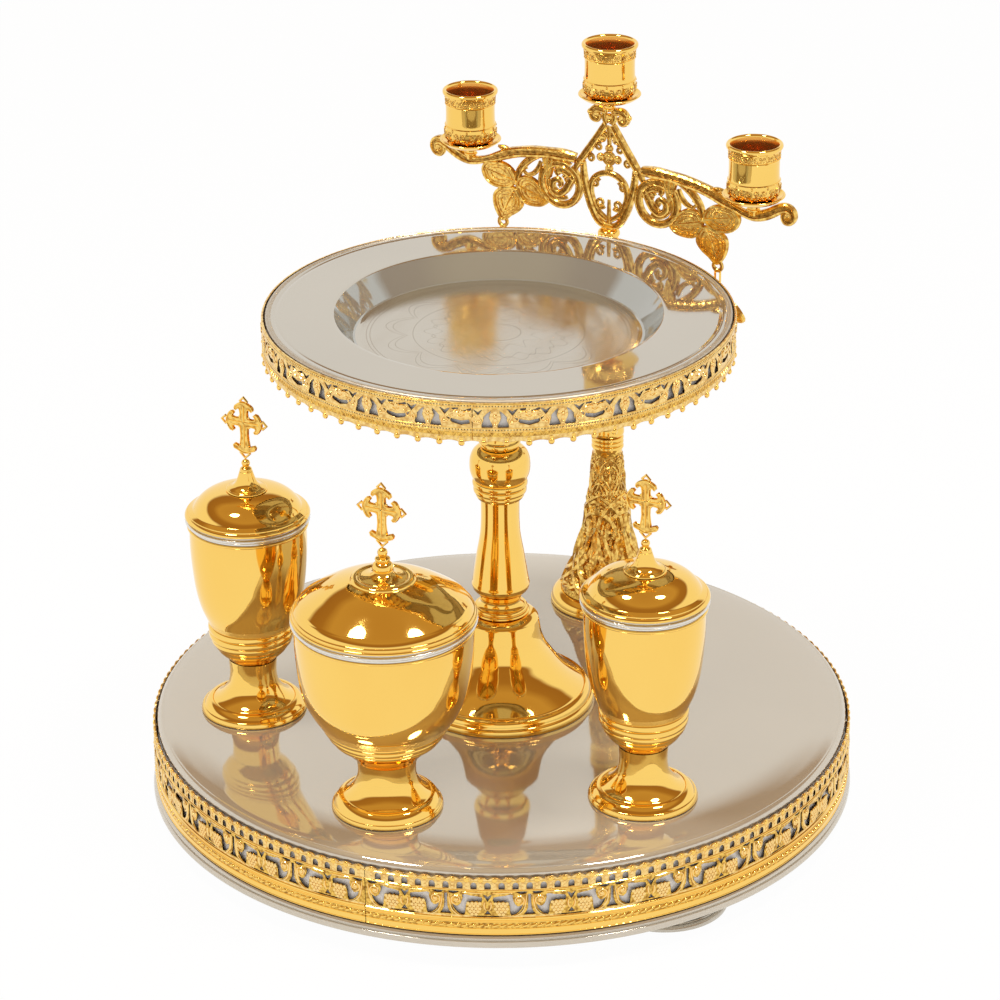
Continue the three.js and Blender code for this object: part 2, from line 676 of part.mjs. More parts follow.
function branchSocket(z) {
  const h = SOCKET_HEIGHT;
  const hole = ROD_R + BORE_PLAY;
  const profile = outline(0, z + h)
    .lineTo(0, z + h * 0.6)
    .lineTo(hole, z + h * 0.6)
    .lineTo(hole, z)
    .lineTo(SOCKET_R - 1.6, z)
    .lineTo(SOCKET_R, z + h * 0.25)
    .lineTo(SOCKET_R - 1.8, z + h * 0.5)
    .lineTo(SOCKET_R - 0.6, z + h * 0.72)
    .lineTo(SOCKET_R - 2, z + h)
    .lineTo(0, z + h);
  return toMesh('branch_socket', turned(profile, 12), gold());
}

// The branches are one flat casting. It is drawn on a grid: 100 across to a side candle,
// 80 from its underside to the seat of the middle candle. Ribbons are bars of the tracery.

function onGrid([x, z]) {
  return new THREE.Vector2(x * GRID_X, z * GRID_Z);
}

function ribbon(points, width, endWidth = width, steps = 4) {
  const line = new THREE.SplineCurve(points.map(onGrid));
  const left = [];
  const right = [];
  for (let i = 0; i <= steps; i += 1) {
    const at = line.getPoint(i / steps);
    const along = line.getTangent(i / steps);
    const across = new THREE.Vector2(-along.y, along.x);
    across.multiplyScalar(THREE.MathUtils.lerp(width, endWidth, i / steps) / 2);
    left.push(at.clone().add(across));
    right.unshift(at.clone().sub(across));
  }
  return new THREE.Shape([...left, ...right]);
}

function disc(centre, radius) {
  const at = onGrid(centre);
  return new THREE.Shape().absarc(at.x, at.y, radius, 0, 2 * Math.PI);
}

function hoop(centre, radius, width) {
  const at = onGrid(centre);
  const shape = new THREE.Shape().absarc(at.x, at.y, radius + width / 2, 0, 2 * Math.PI);
  shape.holes.push(new THREE.Path().absarc(at.x, at.y, radius - width / 2, 0, 2 * Math.PI));
  return shape;
}

function leaf(base, tip, width) {
  const [from, to] = [onGrid(base), onGrid(tip)];
  const side = to.clone().sub(from).normalize().rotateAround(new THREE.Vector2(), Math.PI / 2);
  const bulge = (sign, t) => from.clone().lerp(to, t).addScaledVector(side, sign * width * 0.62);
  const shape = new THREE.Shape().moveTo(from.x, from.y);
  for (const [sign, first, last, end] of [[1, 0.05, 0.75, to], [-1, 0.75, 0.05, from]]) {
    const [a, b] = [bulge(sign, first), bulge(sign, last)];
    shape.bezierCurveTo(a.x, a.y, b.x, b.y, end.x, end.y);
  }
  return shape;
}

function castingHalf(side) {
  const across = (points) => points.map(([x, z]) => [side * x, z]);
  const at = (x, z) => [side * x, z];
  return [
    ribbon(across([
      [18, 40], [32, 41], [48, 40], [64, 37], [77, 33.5], [87, 28.5], [94, 26.5], [102, 26], [110, 28.5],
      [118, 33], [124, 36],
    ]), 5.2, 3, 9),
    ribbon(across([[122, 36], [128.5, 33], [127, 27], [121, 27.5]]), 3),
    ribbon(across([[2.6, 65], [10.7, 53], [18.8, 41], [24, 34]]), 3.3, 3.3, 1),
    ribbon(across([[23, 38], [24.5, 27], [25, 14]]), 6, 5, 2),
    ribbon(across([[25, 27], [33.2, 24.8], [39.2, 22], [39.7, 18], [36, 16.4]]), 3.6, 2.8),
    ribbon(across([[49, 38], [57.9, 32.4], [63.2, 25.6], [66.5, 18]]), 3.4),
    ribbon(across([[18, 38], [16, 24], [12.5, 10], [7, 4], [-1, 2.6]]), 4, 5.5),
    hoop(at(34.6, 22.3), 12.6, 3.9),
    disc(at(30.5, 28.8), 4.2),
    disc(at(10.2, 27.7), 4),
    disc(at(8.6, 70), 4.6),
    disc(at(8.6, 44), 2.6),
    leaf(at(41, 38), at(42.4, 24), 5),
    leaf(at(64, 15.5), at(90.5, 22.5), 13.5),
    leaf(at(68, 15), at(43, 10.5), 14.5),
    leaf(at(66, 17), at(76.5, -9), 17),
  ];
}

function castingMiddle() {
  return [
    hoop([0, 21.8], 12, 2.8),
    ribbon([[-21, 38], [0, 33], [21, 38]], 3, 3, 4),
    ribbon([[-9, 44], [9, 44]], 3.6, 3.6, 1),
    ribbon([[0, 32], [0, 67]], 3.6, 3.6, 1),
    ribbon([[-9, 70], [9, 70]], 6, 6, 1),
    ribbon([[0, 62], [0, 74]], 7, 7, 1),
    ribbon([[0, 0], [0, 6]], 7, 7, 1),
  ];
}

// Centre of the eye at the tip of a lower leaf, over the casting's underside
function eyePlace(side) {
  const tip = onGrid([side * 76.5, -9]);
  return new THREE.Vector3(tip.x, 0, tip.y - EYE_R + 0.8);
}

function eyeRing(side) {
  const at = eyePlace(side);
  const shape = new THREE.Shape().absarc(at.x, at.z, EYE_R, 0, 2 * Math.PI);
  shape.holes.push(new THREE.Path().absarc(at.x, at.z, EYE_BORE_R, 0, 2 * Math.PI));
  return upright(shape, EYE_THICKNESS, 8);
}

function candleSeat(x, top, neck) {
  const waist = SEAT_BOSS_R * 0.65;
  const profile = outline(0, top - neck)
    .lineTo(SEAT_BOSS_R * 0.9, top - neck)
    .lineTo(waist, top - neck * 0.5)
    .lineTo(SEAT_BOSS_R, top)
    .lineTo(0, top)
    .lineTo(0, top - neck);
  const points = profile.getPoints();
  return toSolid(new THREE.LatheGeometry(points, 12).rotateX(Math.PI / 2).translate(x, 0, 0));
}

function branchCasting(z) {
  const shapes = [...castingHalf(1), ...castingHalf(-1), ...castingMiddle()];
  const tracery = shapes.map((shape) => upright(shape, CASTING_THICKNESS));
  const sideTop = SIDE_SEAT_Z + SIDE_NECK;
  const seats = [
    candleSeat(0, CASTING_HEIGHT, SIDE_NECK),
    ...[-1, 1].map((side) => candleSeat(side * ARM_SPREAD, sideTop, SIDE_NECK + 1)),
  ];
  const bore = (x, top) => cylinder(CUP_SCREW_R + BORE_PLAY, top - CUP_SCREW_GRIP - SEAT, top + 1, 8, x);
  const bores = [bore(0, CASTING_HEIGHT), bore(-ARM_SPREAD, sideTop), bore(ARM_SPREAD, sideTop)];
  const body = join([...tracery, ...seats, eyeRing(1), eyeRing(-1)]).subtract(join(bores));
  const mesh = toMesh('branch_casting', body, gold());
  mesh.position.z = z;
  return mesh;
}

// Candle holders: a drip pan and a cup, held by one screw

function dripPan(name) {
  const hole = CUP_SCREW_R + BORE_PLAY;
  const profile = outline(hole, PAN_SHEET)
    .lineTo(hole, 0)
    .lineTo(PAN_R * 0.55, 0)
    .lineTo(PAN_R - 1, PAN_DEPTH - 1.4)
    .lineTo(PAN_R, PAN_DEPTH - 0.4)
    .lineTo(PAN_R - 0.5, PAN_DEPTH)
    .lineTo(PAN_R * 0.62, PAN_SHEET);
  return toMesh(`drip_pan_${name}`, turned(profile, 12), gold());
}

function candleCup(name) {
  const hole = CUP_SCREW_R + BORE_PLAY;
  const h = CANDLE_CUP_HEIGHT;
  const inner = CANDLE_CUP_R - CANDLE_CUP_WALL;
  const seat = CUP_SCREW_HEAD_R + BORE_PLAY;
  const profile = outline(seat, CANDLE_CUP_FLOOR)
    .lineTo(seat, CANDLE_CUP_FLOOR - CUP_SCREW_SINK)
    .lineTo(hole, CANDLE_CUP_FLOOR - CUP_SCREW_SINK)
    .lineTo(hole, 0)
    .lineTo(PAN_R * 0.45, 0)
    .lineTo(CANDLE_CUP_R - 0.6, 4)
    .lineTo(CANDLE_CUP_R + 0.9, 8.5)
    .lineTo(CANDLE_CUP_R, h * 0.5)
    .lineTo(CANDLE_CUP_R, h - 5)
    .lineTo(CANDLE_CUP_R + 1.8, h - 1.4)
    .lineTo(CANDLE_CUP_R + 1.2, h)
    .lineTo(inner + 0.6, h)
    .lineTo(inner, h - 4)
    .lineTo(inner - 0.6, CANDLE_CUP_FLOOR);
  return toMesh(`candle_cup_${name}`, turned(profile, 12), gold());
}

function candleScrew(name, length) {
  const head = cylinder(CUP_SCREW_HEAD_R, SEAT, SEAT + CUP_SCREW_HEAD, 8);
  return toMesh(`candle_screw_${name}`, head.add(cylinder(CUP_SCREW_R, -length, SEAT + 1, 8)), steel());
}

function candleHolder(name, x, seatZ) {
  const group = new THREE.Group();
  group.position.set(x, 0, seatZ + SEAT);
  const cupZ = PAN_SHEET + SEAT;
  const headZ = cupZ + CANDLE_CUP_FLOOR - CUP_SCREW_SINK;
  const screwed = headZ + SEAT + CUP_SCREW_GRIP;
  group.add(dripPan(name));
  group.add(placed(candleCup(name), new THREE.Vector3(0, 0, cupZ)));
  group.add(placed(candleScrew(name, screwed), new THREE.Vector3(0, 0, headZ)));
  return group;
}

// Pendants: a long two-wire link through the eye, and a leaf drop on the link

function linkTop() {
  return SEAT + LINK_WIRE - EYE_BORE_R;
}

function slot(path, width, length) {
  const half = width / 2;
  const reach = length / 2 - half;
  return path.absarc(0, reach, half, 0, Math.PI).absarc(0, -reach, half, Math.PI, 2 * Math.PI);
}

function pendantLink(name) {
  const shape = slot(new THREE.Shape(), LINK_GAP + 2 * LINK_WIRE, LINK_LENGTH);
  shape.holes.push(slot(new THREE.Path(), LINK_GAP, LINK_LENGTH - 2 * LINK_WIRE));
  const mesh = toMesh(`pendant_link_${name}`, upright(shape, LINK_THICKNESS, 3), gold());
  mesh.rotation.z = Math.PI / 2;
  mesh.position.z = linkTop() - LINK_LENGTH / 2;
  return mesh;
}

function pendantDrop(name) {
  const h = DROP_HEIGHT;
  const w = DROP_SPAN / 2;
  const neck = 1 - LOOP_R;
  const half = [
    [w * 0.3, -h * 0.1], [w * 0.34, -h * 0.26], [w * 0.6, -h * 0.24], [w, -h * 0.48],
    [w * 0.5, -h * 0.58], [w * 0.32, -h * 0.55], [w * 0.36, -h * 0.74],
  ];
  const otherHalf = half.map(([x, z]) => [-x, z]).reverse();
  const points = [[0, 0], ...half, [0, -h], ...otherHalf];
  const blade = new THREE.Shape(points.map(([x, z]) => new THREE.Vector2(x, z + neck)));
  const loop = new THREE.Shape().absarc(0, 0, LOOP_R, 0, 2 * Math.PI);
  loop.holes.push(new THREE.Path().absarc(0, 0, LOOP_R - LOOP_BAR, 0, 2 * Math.PI));
  const body = upright(loop, LOOP_THICKNESS, 6).add(upright(blade, DROP_SHEET));
  const mesh = toMesh(`pendant_drop_${name}`, body, gold());
  mesh.position.z = linkTop() - LINK_LENGTH + LINK_WIRE + SEAT - (LOOP_R - LOOP_BAR);
  return mesh;
}

function pendant(name, side) {
  const group = new THREE.Group();
  group.position.copy(eyePlace(side));
  group.position.z += BRANCH_BASE_Z;
  group.add(pendantLink(name), pendantDrop(name));
  return group;
}

function candelabrum(at) {
  const group = new THREE.Group();
  group.position.copy(at);
  const socketZ = BRANCH_BASE_Z - SEAT - SOCKET_HEIGHT;
  group.add(...candelabrumStand(socketZ - SEAT));
  group.add(rod('candelabrum_rod', socketZ + SOCKET_HEIGHT * 0.6 - SEAT), rodNut('candelabrum_nut'));
  const branches = new THREE.Group();
  branches.rotation.z = THREE.MathUtils.degToRad(BRANCH_TURN);
  branches.add(branchSocket(socketZ), branchCasting(BRANCH_BASE_Z));
  branches.add(candleHolder('middle', 0, BRANCH_BASE_Z + CASTING_HEIGHT));
  for (const [name, side] of [['left', -1], ['right', 1]]) {
    branches.add(candleHolder(name, side * ARM_SPREAD, BRANCH_BASE_Z + SIDE_SEAT_Z + SIDE_NECK));
    branches.add(pendant(name, side));
  }
  group.add(branches);
  return group;
}

function vigilDish() {
  const boltAt = polar(CANDELABRUM_AT_R, CANDELABRUM_ANGLE);
  const group = new THREE.Group();
  group.add(baseTray(boltAt), bottomSheet(), ...footPads(), ...footScrews(), ...gallery());
  group.add(...column(), upperPlate(), plateSkirt());
  for (const [side, angle] of Object.entries(GOBLET_ANGLES)) {
    group.add(vessel(`goblet_${side}`, GOBLET, angle));
  }
  group.add(vessel('bowl', BOWL, BOWL_ANGLE), candelabrum(boltAt));
  return group;
}

export default vigilDish();
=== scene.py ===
# %% [markdown]
# # A vigil dish in gilt brass and silver
# The set is a low round tray on three feet with a pierced gallery round it. A turned column
# carries a plate for loaves, two goblets and a bowl stand in front, a candle holder at the back.
# Nearly all of it is spun, turned, pierced or cast, so the lesson keeps to four hand skills:
# turning a profile, cutting and rolling a strip, drawing tapered bars, and placing small relief.
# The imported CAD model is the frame. It gives every piece its place, in metres.

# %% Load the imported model
import json
from math import cos, hypot, pi, radians, sin

import bpy
import numpy as np
from mathutils import Matrix, Vector


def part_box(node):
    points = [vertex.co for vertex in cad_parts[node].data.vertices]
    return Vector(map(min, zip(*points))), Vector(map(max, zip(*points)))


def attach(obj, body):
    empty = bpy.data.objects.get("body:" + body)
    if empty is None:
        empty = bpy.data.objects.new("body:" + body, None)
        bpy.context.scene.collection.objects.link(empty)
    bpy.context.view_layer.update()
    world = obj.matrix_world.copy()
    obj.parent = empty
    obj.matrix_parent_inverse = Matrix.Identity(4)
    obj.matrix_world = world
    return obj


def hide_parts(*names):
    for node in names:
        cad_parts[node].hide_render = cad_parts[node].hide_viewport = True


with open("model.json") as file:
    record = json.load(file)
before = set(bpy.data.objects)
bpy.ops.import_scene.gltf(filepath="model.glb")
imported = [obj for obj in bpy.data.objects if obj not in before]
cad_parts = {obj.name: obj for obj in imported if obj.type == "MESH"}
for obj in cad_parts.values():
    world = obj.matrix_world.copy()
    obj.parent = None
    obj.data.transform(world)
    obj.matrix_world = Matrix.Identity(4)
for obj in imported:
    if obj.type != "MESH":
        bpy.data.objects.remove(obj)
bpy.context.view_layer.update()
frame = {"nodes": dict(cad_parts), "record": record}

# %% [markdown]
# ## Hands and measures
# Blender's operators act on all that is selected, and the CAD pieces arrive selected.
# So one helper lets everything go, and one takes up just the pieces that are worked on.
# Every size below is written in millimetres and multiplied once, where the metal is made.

MM = 0.001
record = frame["record"]
finish_of = {part["node"]: part["material_slot"] for part in record["subparts"]}
carrier_of = {node: body for body, nodes in record["behaviour"]["bodies"].items() for node in nodes}


# %% Letting go and taking up
def let_go():
    """Leave edit mode and select nothing."""
    if bpy.context.object and bpy.context.object.mode != "OBJECT":
        bpy.ops.object.mode_set(mode="OBJECT")
    bpy.ops.object.select_all(action="DESELECT")


def take(*pieces):
    """Select these pieces alone; the last one is the active one."""
    let_go()
    for piece in pieces:
        piece.select_set(True)
    bpy.context.view_layer.objects.active = pieces[-1]
    return pieces[-1]


def settle(piece, name):
    """Give a new piece its name, and move its place into its mesh."""
    piece.name = piece.data.name = name
    take(piece)
    bpy.ops.object.transform_apply(location=True, rotation=True, scale=True)
    return piece


def joined(name, *pieces):
    """Solder several pieces into one."""
    take(*reversed(pieces))
    if len(pieces) > 1:
        bpy.ops.object.join()
    return settle(bpy.context.object, name)


def smooth(piece, angle=35):
    """Round the shading everywhere but at true edges."""
    take(piece)
    bpy.ops.object.shade_smooth_by_angle(angle=radians(angle))
    return piece


# %% Standing in for the CAD
def stand_in(piece, *nodes):
    """Put a piece in the place of its CAD nodes: they are hidden, and it moves with them."""
    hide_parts(*nodes)
    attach(piece, carrier_of[nodes[0]])
    return piece


def copied(piece, name, shift):
    """Copy a piece, with its own mesh, and carry the copy to another place."""
    take(piece)
    bpy.ops.object.duplicate(linked=False)
    bpy.ops.transform.translate(value=[value * MM for value in shift])
    return settle(bpy.context.object, name)


# %% [markdown]
# ## The camera
# The photograph looks down at the tray from about 25 degrees, from a little to the right of the
# bowl. The lens and the place were found from the round edges of the tray and the plate, which
# show as ellipses: their widths give the distance and their heights give the tilt.

# %% Set the camera
CAMERA_PLACE = (0.8540, -1.7433, 1.0690)
TO_THE_RIGHT, LOOKING_DOWN, ROLL = radians(26.1), radians(24.59), -0.006847
LENS, SENSOR, FAR_CLIP = 137.8, 36, 20
camera_data = bpy.data.cameras.new("photo_camera")
camera_data.sensor_width, camera_data.lens, camera_data.clip_end = SENSOR, LENS, FAR_CLIP
camera = bpy.data.objects.new("photo_camera", camera_data)
bpy.context.scene.collection.objects.link(camera)
tilt = Matrix.Rotation(TO_THE_RIGHT, 4, "Z") @ Matrix.Rotation(pi / 2 - LOOKING_DOWN, 4, "X")
camera.matrix_world = Matrix.Translation(CAMERA_PLACE) @ tilt @ Matrix.Rotation(ROLL, 4, "Z")
bpy.context.scene.camera = camera
print("camera at", CAMERA_PLACE, "lens", LENS)

# %% [markdown]
# ## Finishes as sums
# A finish is a small net of nodes. Written out link by link it is hard to read, so a number
# that runs along a wire gets Python's own signs: a sum of wires adds the Math nodes by itself.
# All other nodes come from one method, which takes the kind, its settings and its sockets.

# %% A wire that can be added and multiplied
class Wire:
    """A number or colour on its way between two nodes."""

    def __init__(self, tree, socket):
        self.tree, self.socket = tree, socket

    def reckon(self, operation, *values):
        """One Math node over these values."""
        return Net(self.tree).node("Math", {"operation": operation}, dict(enumerate(values)))

    def __add__(self, other):
        return self.reckon("ADD", self, other)

    def __sub__(self, other):
        return self.reckon("SUBTRACT", self, other)

    def __rsub__(self, other):
        return self.reckon("SUBTRACT", other, self)

    def __mul__(self, other):
        return self.reckon("MULTIPLY", self, other)

    def __pow__(self, other):
        return self.reckon("POWER", self, other)

    __radd__ = __add__
    __rmul__ = __mul__


# %% A net that takes any node
class Net:
    """The nodes of one finish."""

    def __init__(self, tree):
        self.tree = tree

    def feed(self, node, sockets):
        """Wire or set a node's sockets."""
        for name, value in sockets.items():
            if isinstance(value, Wire):
                self.tree.links.new(value.socket, node.inputs[name])
            else:
                node.inputs[name].default_value = value

    def node(self, kind, settings=None, sockets=None, out=0):
        """A new node, and the wire from one of its outputs."""
        node = self.tree.nodes.new("ShaderNode" + kind)
        for name, value in (settings or {}).items():
            if name == "stops":
                node.color_ramp.elements[0].position, node.color_ramp.elements[0].color = value[0]
                node.color_ramp.elements[1].position, node.color_ramp.elements[1].color = value[-1]
                for place, colour in value[1:-1]:
                    node.color_ramp.elements.new(place).color = colour
            else:
                setattr(node, name, value)
        self.feed(node, sockets or {})
        return Wire(self.tree, node.outputs[out])


# %% Plain metal, two tones and soft clouds
def metal(name, colour, roughness, metallic=1.0):
    """A plain metal, ready for more nodes: the material, its net and its main shader."""
    material = bpy.data.materials.new(name)
    material.use_nodes = True
    shader = material.node_tree.nodes["Principled BSDF"]
    shader.inputs["Base Color"].default_value = (*colour, 1)
    shader.inputs["Roughness"].default_value = roughness
    shader.inputs["Metallic"].default_value = metallic
    return material, Net(material.node_tree), shader


def two_tones(net, amount, dark, light):
    """A colour between two tones; each tone is a colour or a wire."""
    dark, light = (tone if isinstance(tone, Wire) else (*tone, 1) for tone in (dark, light))
    return net.node("Mix", {"data_type": "RGBA"}, {0: amount, 6: dark, 7: light}, out=2)


def mottle(net, scale, detail=2.0, stretch=(1, 1, 1)):
    """Soft cloudy noise in the piece's own coordinates, from 0 to 1."""
    place = net.node("TexCoord", out=3)
    place = net.node("Mapping", sockets={0: place, 3: stretch})
    return net.node("TexNoise", sockets={"Vector": place, "Scale": scale, "Detail": detail})


# %% [markdown]
# ## Gold, silver and steel
# The gold is a mirror: its colour comes from what it reflects, so it is a clear metal with only
# a breath of polishing haze. Cast and chased work keeps a grain and dark gilding in its hollows.
# The silver plate reflects a warm grey. Cups show the red-brown of gilding that candles heated.

# %% Polished gold
GOLD = (0.98, 0.66, 0.17)
DEEP_GOLD = (0.93, 0.58, 0.13)


def polished_gold(name, haze, dark=DEEP_GOLD, light=GOLD, metallic=1.0):
    """Mirror gold with a faint cloud in its colour and wiping marks in its haze."""
    material, net, shader = metal(name, light, haze, metallic)
    cloud = mottle(net, 22, stretch=(1, 1, 0.6))
    wipe = mottle(net, 160, 4, (1, 1, 0.25))
    net.feed(shader, {
        "Base Color": two_tones(net, cloud, dark, light),
        "Roughness": wipe * (0.6 * haze) + 0.6 * haze,
    })
    return material


gold = polished_gold("polished_gold", 0.06)
pale_gold = polished_gold("pale_gold", 0.12, (0.93, 0.6, 0.18), (0.98, 0.73, 0.32))
inner_gold = polished_gold("inner_gold", 0.25, metallic=0.7)
print("gold nodes:", len(gold.node_tree.nodes))

# %% Chased and cast gold
def chased_gold(name, grain, depth, hollow, roughness, light=GOLD):
    """Worked gold: grains to a metre, their depth in metres, and the colour in its hollows."""
    material, net, shader = metal(name, light, roughness)
    cells = net.node(
        "TexVoronoi", {"feature": "F1"}, {"Vector": net.node("TexCoord", out=3), "Scale": grain}
    )
    cloud = mottle(net, grain * 0.6, 3)
    height = (1 - cells) * 0.6 + cloud * 0.8
    bump = net.node("Bump", sockets={"Strength": 1.0, "Distance": depth, "Height": height})
    shade = net.node("MapRange", sockets={0: height, 1: 0.45, 2: 0.85, 3: 0.0, 4: 1.0})
    net.feed(shader, {
        "Base Color": two_tones(net, shade, hollow, light),
        "Roughness": roughness + (1 - shade) * 0.18,
        "Normal": bump,
    })
    return material


cast_gold = chased_gold("cast_gold", 700, 0.00012, (0.62, 0.33, 0.08), 0.12)
pierced_gold = chased_gold("pierced_gold", 520, 0.00014, (0.72, 0.42, 0.12), 0.14, (0.97, 0.7, 0.27))
ground_gold = chased_gold("ground_gold", 620, 0.0003, (0.38, 0.18, 0.03), 0.18, (0.92, 0.58, 0.12))
branch_gold = chased_gold("branch_gold", 420, 0.00016, (0.55, 0.28, 0.05), 0.13, (0.97, 0.65, 0.17))
# A darker copy for the floors of the grooves in cast bars: painted shade.
groove_shade_gold = chased_gold("groove_shade_gold", 500, 0.0002, (0.2, 0.085, 0.015), 0.3, (0.6, 0.32, 0.06))
# A near-black copy for cut sides and backs, dots and shadow lines: painted shade.
painted_shade_gold = chased_gold("painted_shade_gold", 700, 0.0002, (0.03, 0.013, 0.005), 0.45, (0.1, 0.045, 0.013))
print("golds:", [material.name for material in bpy.data.materials])

# %% Silver plate, bright rings, steel and heated gilding
SILVER = (0.65, 0.6, 0.51)
WORN_R, LINE_HALF = 76, 0.28


def rosette(net):
    """Fine engraved lines round the middle of the plate, and how worn its floor is."""
    place = net.node("TexCoord", out=3)
    x, y = (net.node("SeparateXYZ", sockets={0: place}, out=k) * 1000 for k in (0, 1))
    far = (x * x + y * y) ** 0.5
    turn = x.reckon("ARCTAN2", y, x)
    lobes = turn.reckon("ABSOLUTE", turn.reckon("SINE", turn * 6))
    star = turn.reckon("COSINE", turn * 16)
    rings = (72.5, 70.5, lobes * 11 + 52, lobes * 9 + 50, 47, star * 3 + 38, star * -3 + 34,
             lobes * -8 + 26, 12)
    lines = 0
    for ring in rings:
        lines = far.reckon("COMPARE", far, ring, LINE_HALF) + lines
    worn = far.reckon("LESS_THAN", far, WORN_R) * mottle(net, 60, 3, (1, 0.35, 1))
    return lines, worn


def silver_plate(name, colour, haze, metallic=1.0, engraving=None):
    """Plated silver, polished or satin, with an engraving if one is given."""
    material, net, shader = metal(name, colour, haze, metallic)
    tone = two_tones(net, mottle(net, 14), tuple(0.93 * value for value in colour), colour)
    rough = mottle(net, 240, 4, (1, 1, 0.3)) * haze + 0.5 * haze
    if engraving:
        lines, worn = engraving(net)
        tone = two_tones(net, lines * 0.5, tone, (0.3, 0.24, 0.16))
        rough = rough + worn * 0.22
    net.feed(shader, {"Base Color": tone, "Roughness": rough})
    return material


silver = silver_plate("polished_silver", SILVER, 0.05, 0.55)
plate_silver = silver_plate("plate_silver", (0.56, 0.515, 0.435), 0.05, 0.85, rosette)
satin_silver = silver_plate("satin_silver", (0.86, 0.84, 0.81), 0.4, 0.2)
bright_ring = silver_plate("bright_ring", (0.8, 0.77, 0.7), 0.2, 0.8)
# A darker silver for the well's wall: painted shade.
well_shade_silver = silver_plate("well_shade_silver", (0.42, 0.425, 0.395), 0.05, 0.55)
edge_silver = silver_plate("edge_silver", (0.6, 0.55, 0.46), 0.45, 0.9)

steel, steel_net, steel_shader = metal("plain_steel", (0.52, 0.52, 0.5), 0.38)
steel_net.feed(steel_shader, {"Roughness": mottle(steel_net, 300, 3, (1, 1, 0.1)) * 0.3 + 0.25})

cup_inside, cup_net, cup_shader = metal("heated_gilding", (0.6, 0.2, 0.04), 0.15, 0.88)
soot = mottle(cup_net, 60, 4, (1, 1, 0.4))
cup_net.feed(cup_shader, {
    "Base Color": two_tones(cup_net, soot, (0.55, 0.19, 0.025), (0.95, 0.5, 0.11)),
    "Roughness": soot * 0.2 + 0.1,
})

for node, piece in frame["nodes"].items():
    piece.data.materials.clear()
    piece.data.materials.append({"gold": gold, "silver": silver, "steel": steel}[finish_of[node]])
print("finishes:", len(bpy.data.materials))

# %% [markdown]
# ## Turning
# Most pieces came off a lathe. A half profile is drawn, point by point, as radius and height,
# and spun round the upright axis. Surface tools could do it too, but a profile reads like a
# turner's template and gives clean edges. A stretch of points is eased into one flowing line,
# and where two stretches meet the corner stays crisp.

# %% Ease a line and round a bead
def flow(points, steps=5):
    """Ease one smooth line through points with any number of values each."""
    rows = np.array(points, float)
    gaps = np.maximum(np.linalg.norm(np.diff(rows[:, :2], axis=0), axis=1), 1e-6)[:, None]
    slopes = np.diff(rows, axis=0) / gaps
    inner = (slopes[:-1] * gaps[1:] + slopes[1:] * gaps[:-1]) / (gaps[:-1] + gaps[1:])
    ends = (3 * slopes[:1] - inner[:1]) / 2, (3 * slopes[-1:] - inner[-1:]) / 2
    turns = np.vstack([ends[0], inner, ends[1]])
    line = [tuple(rows[0])]
    for i, gap in enumerate(gaps):
        for t in np.arange(1, steps + 1) / steps:
            place = (1 + 2 * t) * (1 - t) ** 2 * rows[i] + t * t * (3 - 2 * t) * rows[i + 1]
            place = place + gap * t * (1 - t) * ((1 - t) * turns[i] - t * turns[i + 1])
            line.append(tuple(place))
    return line


def bead(start, end, swell, steps=7):
    """A half-round bead from one point to another; it swells out where the line runs down."""
    (r0, z0), (r1, z1) = start, end
    long = hypot(r1 - r0, z1 - z0)
    out = (-(z1 - z0) / long, (r1 - r0) / long)
    line = []
    for i in range(steps + 1):
        along, off = (1 - cos(pi * i / steps)) / 2, swell * sin(pi * i / steps)
        line.append((r0 + (r1 - r0) * along + out[0] * off, z0 + (z1 - z0) * along + out[1] * off))
    return line


# %% Spin a profile
SAME_POINT = 0.02
WELD = 4e-6


def turned(name, profile, centre=(0, 0), sides=96, finish=gold):
    """Turn a piece: profile is a row of stretches, each a row of (radius, height)."""
    line = []
    for stretch in profile:
        for r, z in stretch:
            if not line or hypot(r - line[-1][0], z - line[-1][1]) > SAME_POINT:
                line.append((max(r, 0.0), z))
    x, y = centre
    let_go()
    first_r, first_z = line[0]
    bpy.ops.mesh.primitive_plane_add(size=MM, location=[v * MM for v in (x + first_r, y, first_z)])
    piece = bpy.context.object
    bpy.ops.object.mode_set(mode="EDIT")
    bpy.ops.mesh.select_all(action="SELECT")
    bpy.ops.mesh.merge(type="CENTER")
    for (r0, z0), (r1, z1) in zip(line, line[1:]):
        step = ((r1 - r0) * MM, 0, (z1 - z0) * MM)
        bpy.ops.mesh.extrude_region_move(TRANSFORM_OT_translate={"value": step})
    bpy.ops.mesh.select_all(action="SELECT")
    bpy.ops.mesh.spin(steps=sides, angle=2 * pi, center=(x * MM, y * MM, 0), axis=(0, 0, 1))
    bpy.ops.mesh.select_all(action="SELECT")
    bpy.ops.mesh.remove_doubles(threshold=WELD)
    bpy.ops.mesh.normals_make_consistent(inside=False)
    bpy.ops.object.mode_set(mode="OBJECT")
    piece.data.materials.append(finish)
    return smooth(settle(piece, name))


def at_height(height, *profile):
    """A profile that was drawn from nought, put at its height."""
    return [[(r, z + height) for r, z in stretch] for stretch in profile]


def lined(piece, place, finish, reach=99, floor_reach=12.2):
    """Give the inside of a turned vessel its own finish: the wall out to a radius, and the floor."""
    piece.data.materials.append(finish)
    for face in piece.data.polygons:
        out = Vector((face.center.x / MM - place[0], face.center.y / MM - place[1], 0))
        on_wall = out.length < reach and out.dot(face.normal) < -0.01
        on_floor = out.length < min(reach, floor_reach) and face.normal.z > 0.9
        face.material_index = int(on_wall or on_floor)
    return piece


# %% [markdown]
# ## The base tray
# The tray is spun from sheet: a flat mirror, a soft slope, a rounded edge, an upright wall that
# hides behind the gallery, and a stepped lip at the foot. It rests on three saucer feet.

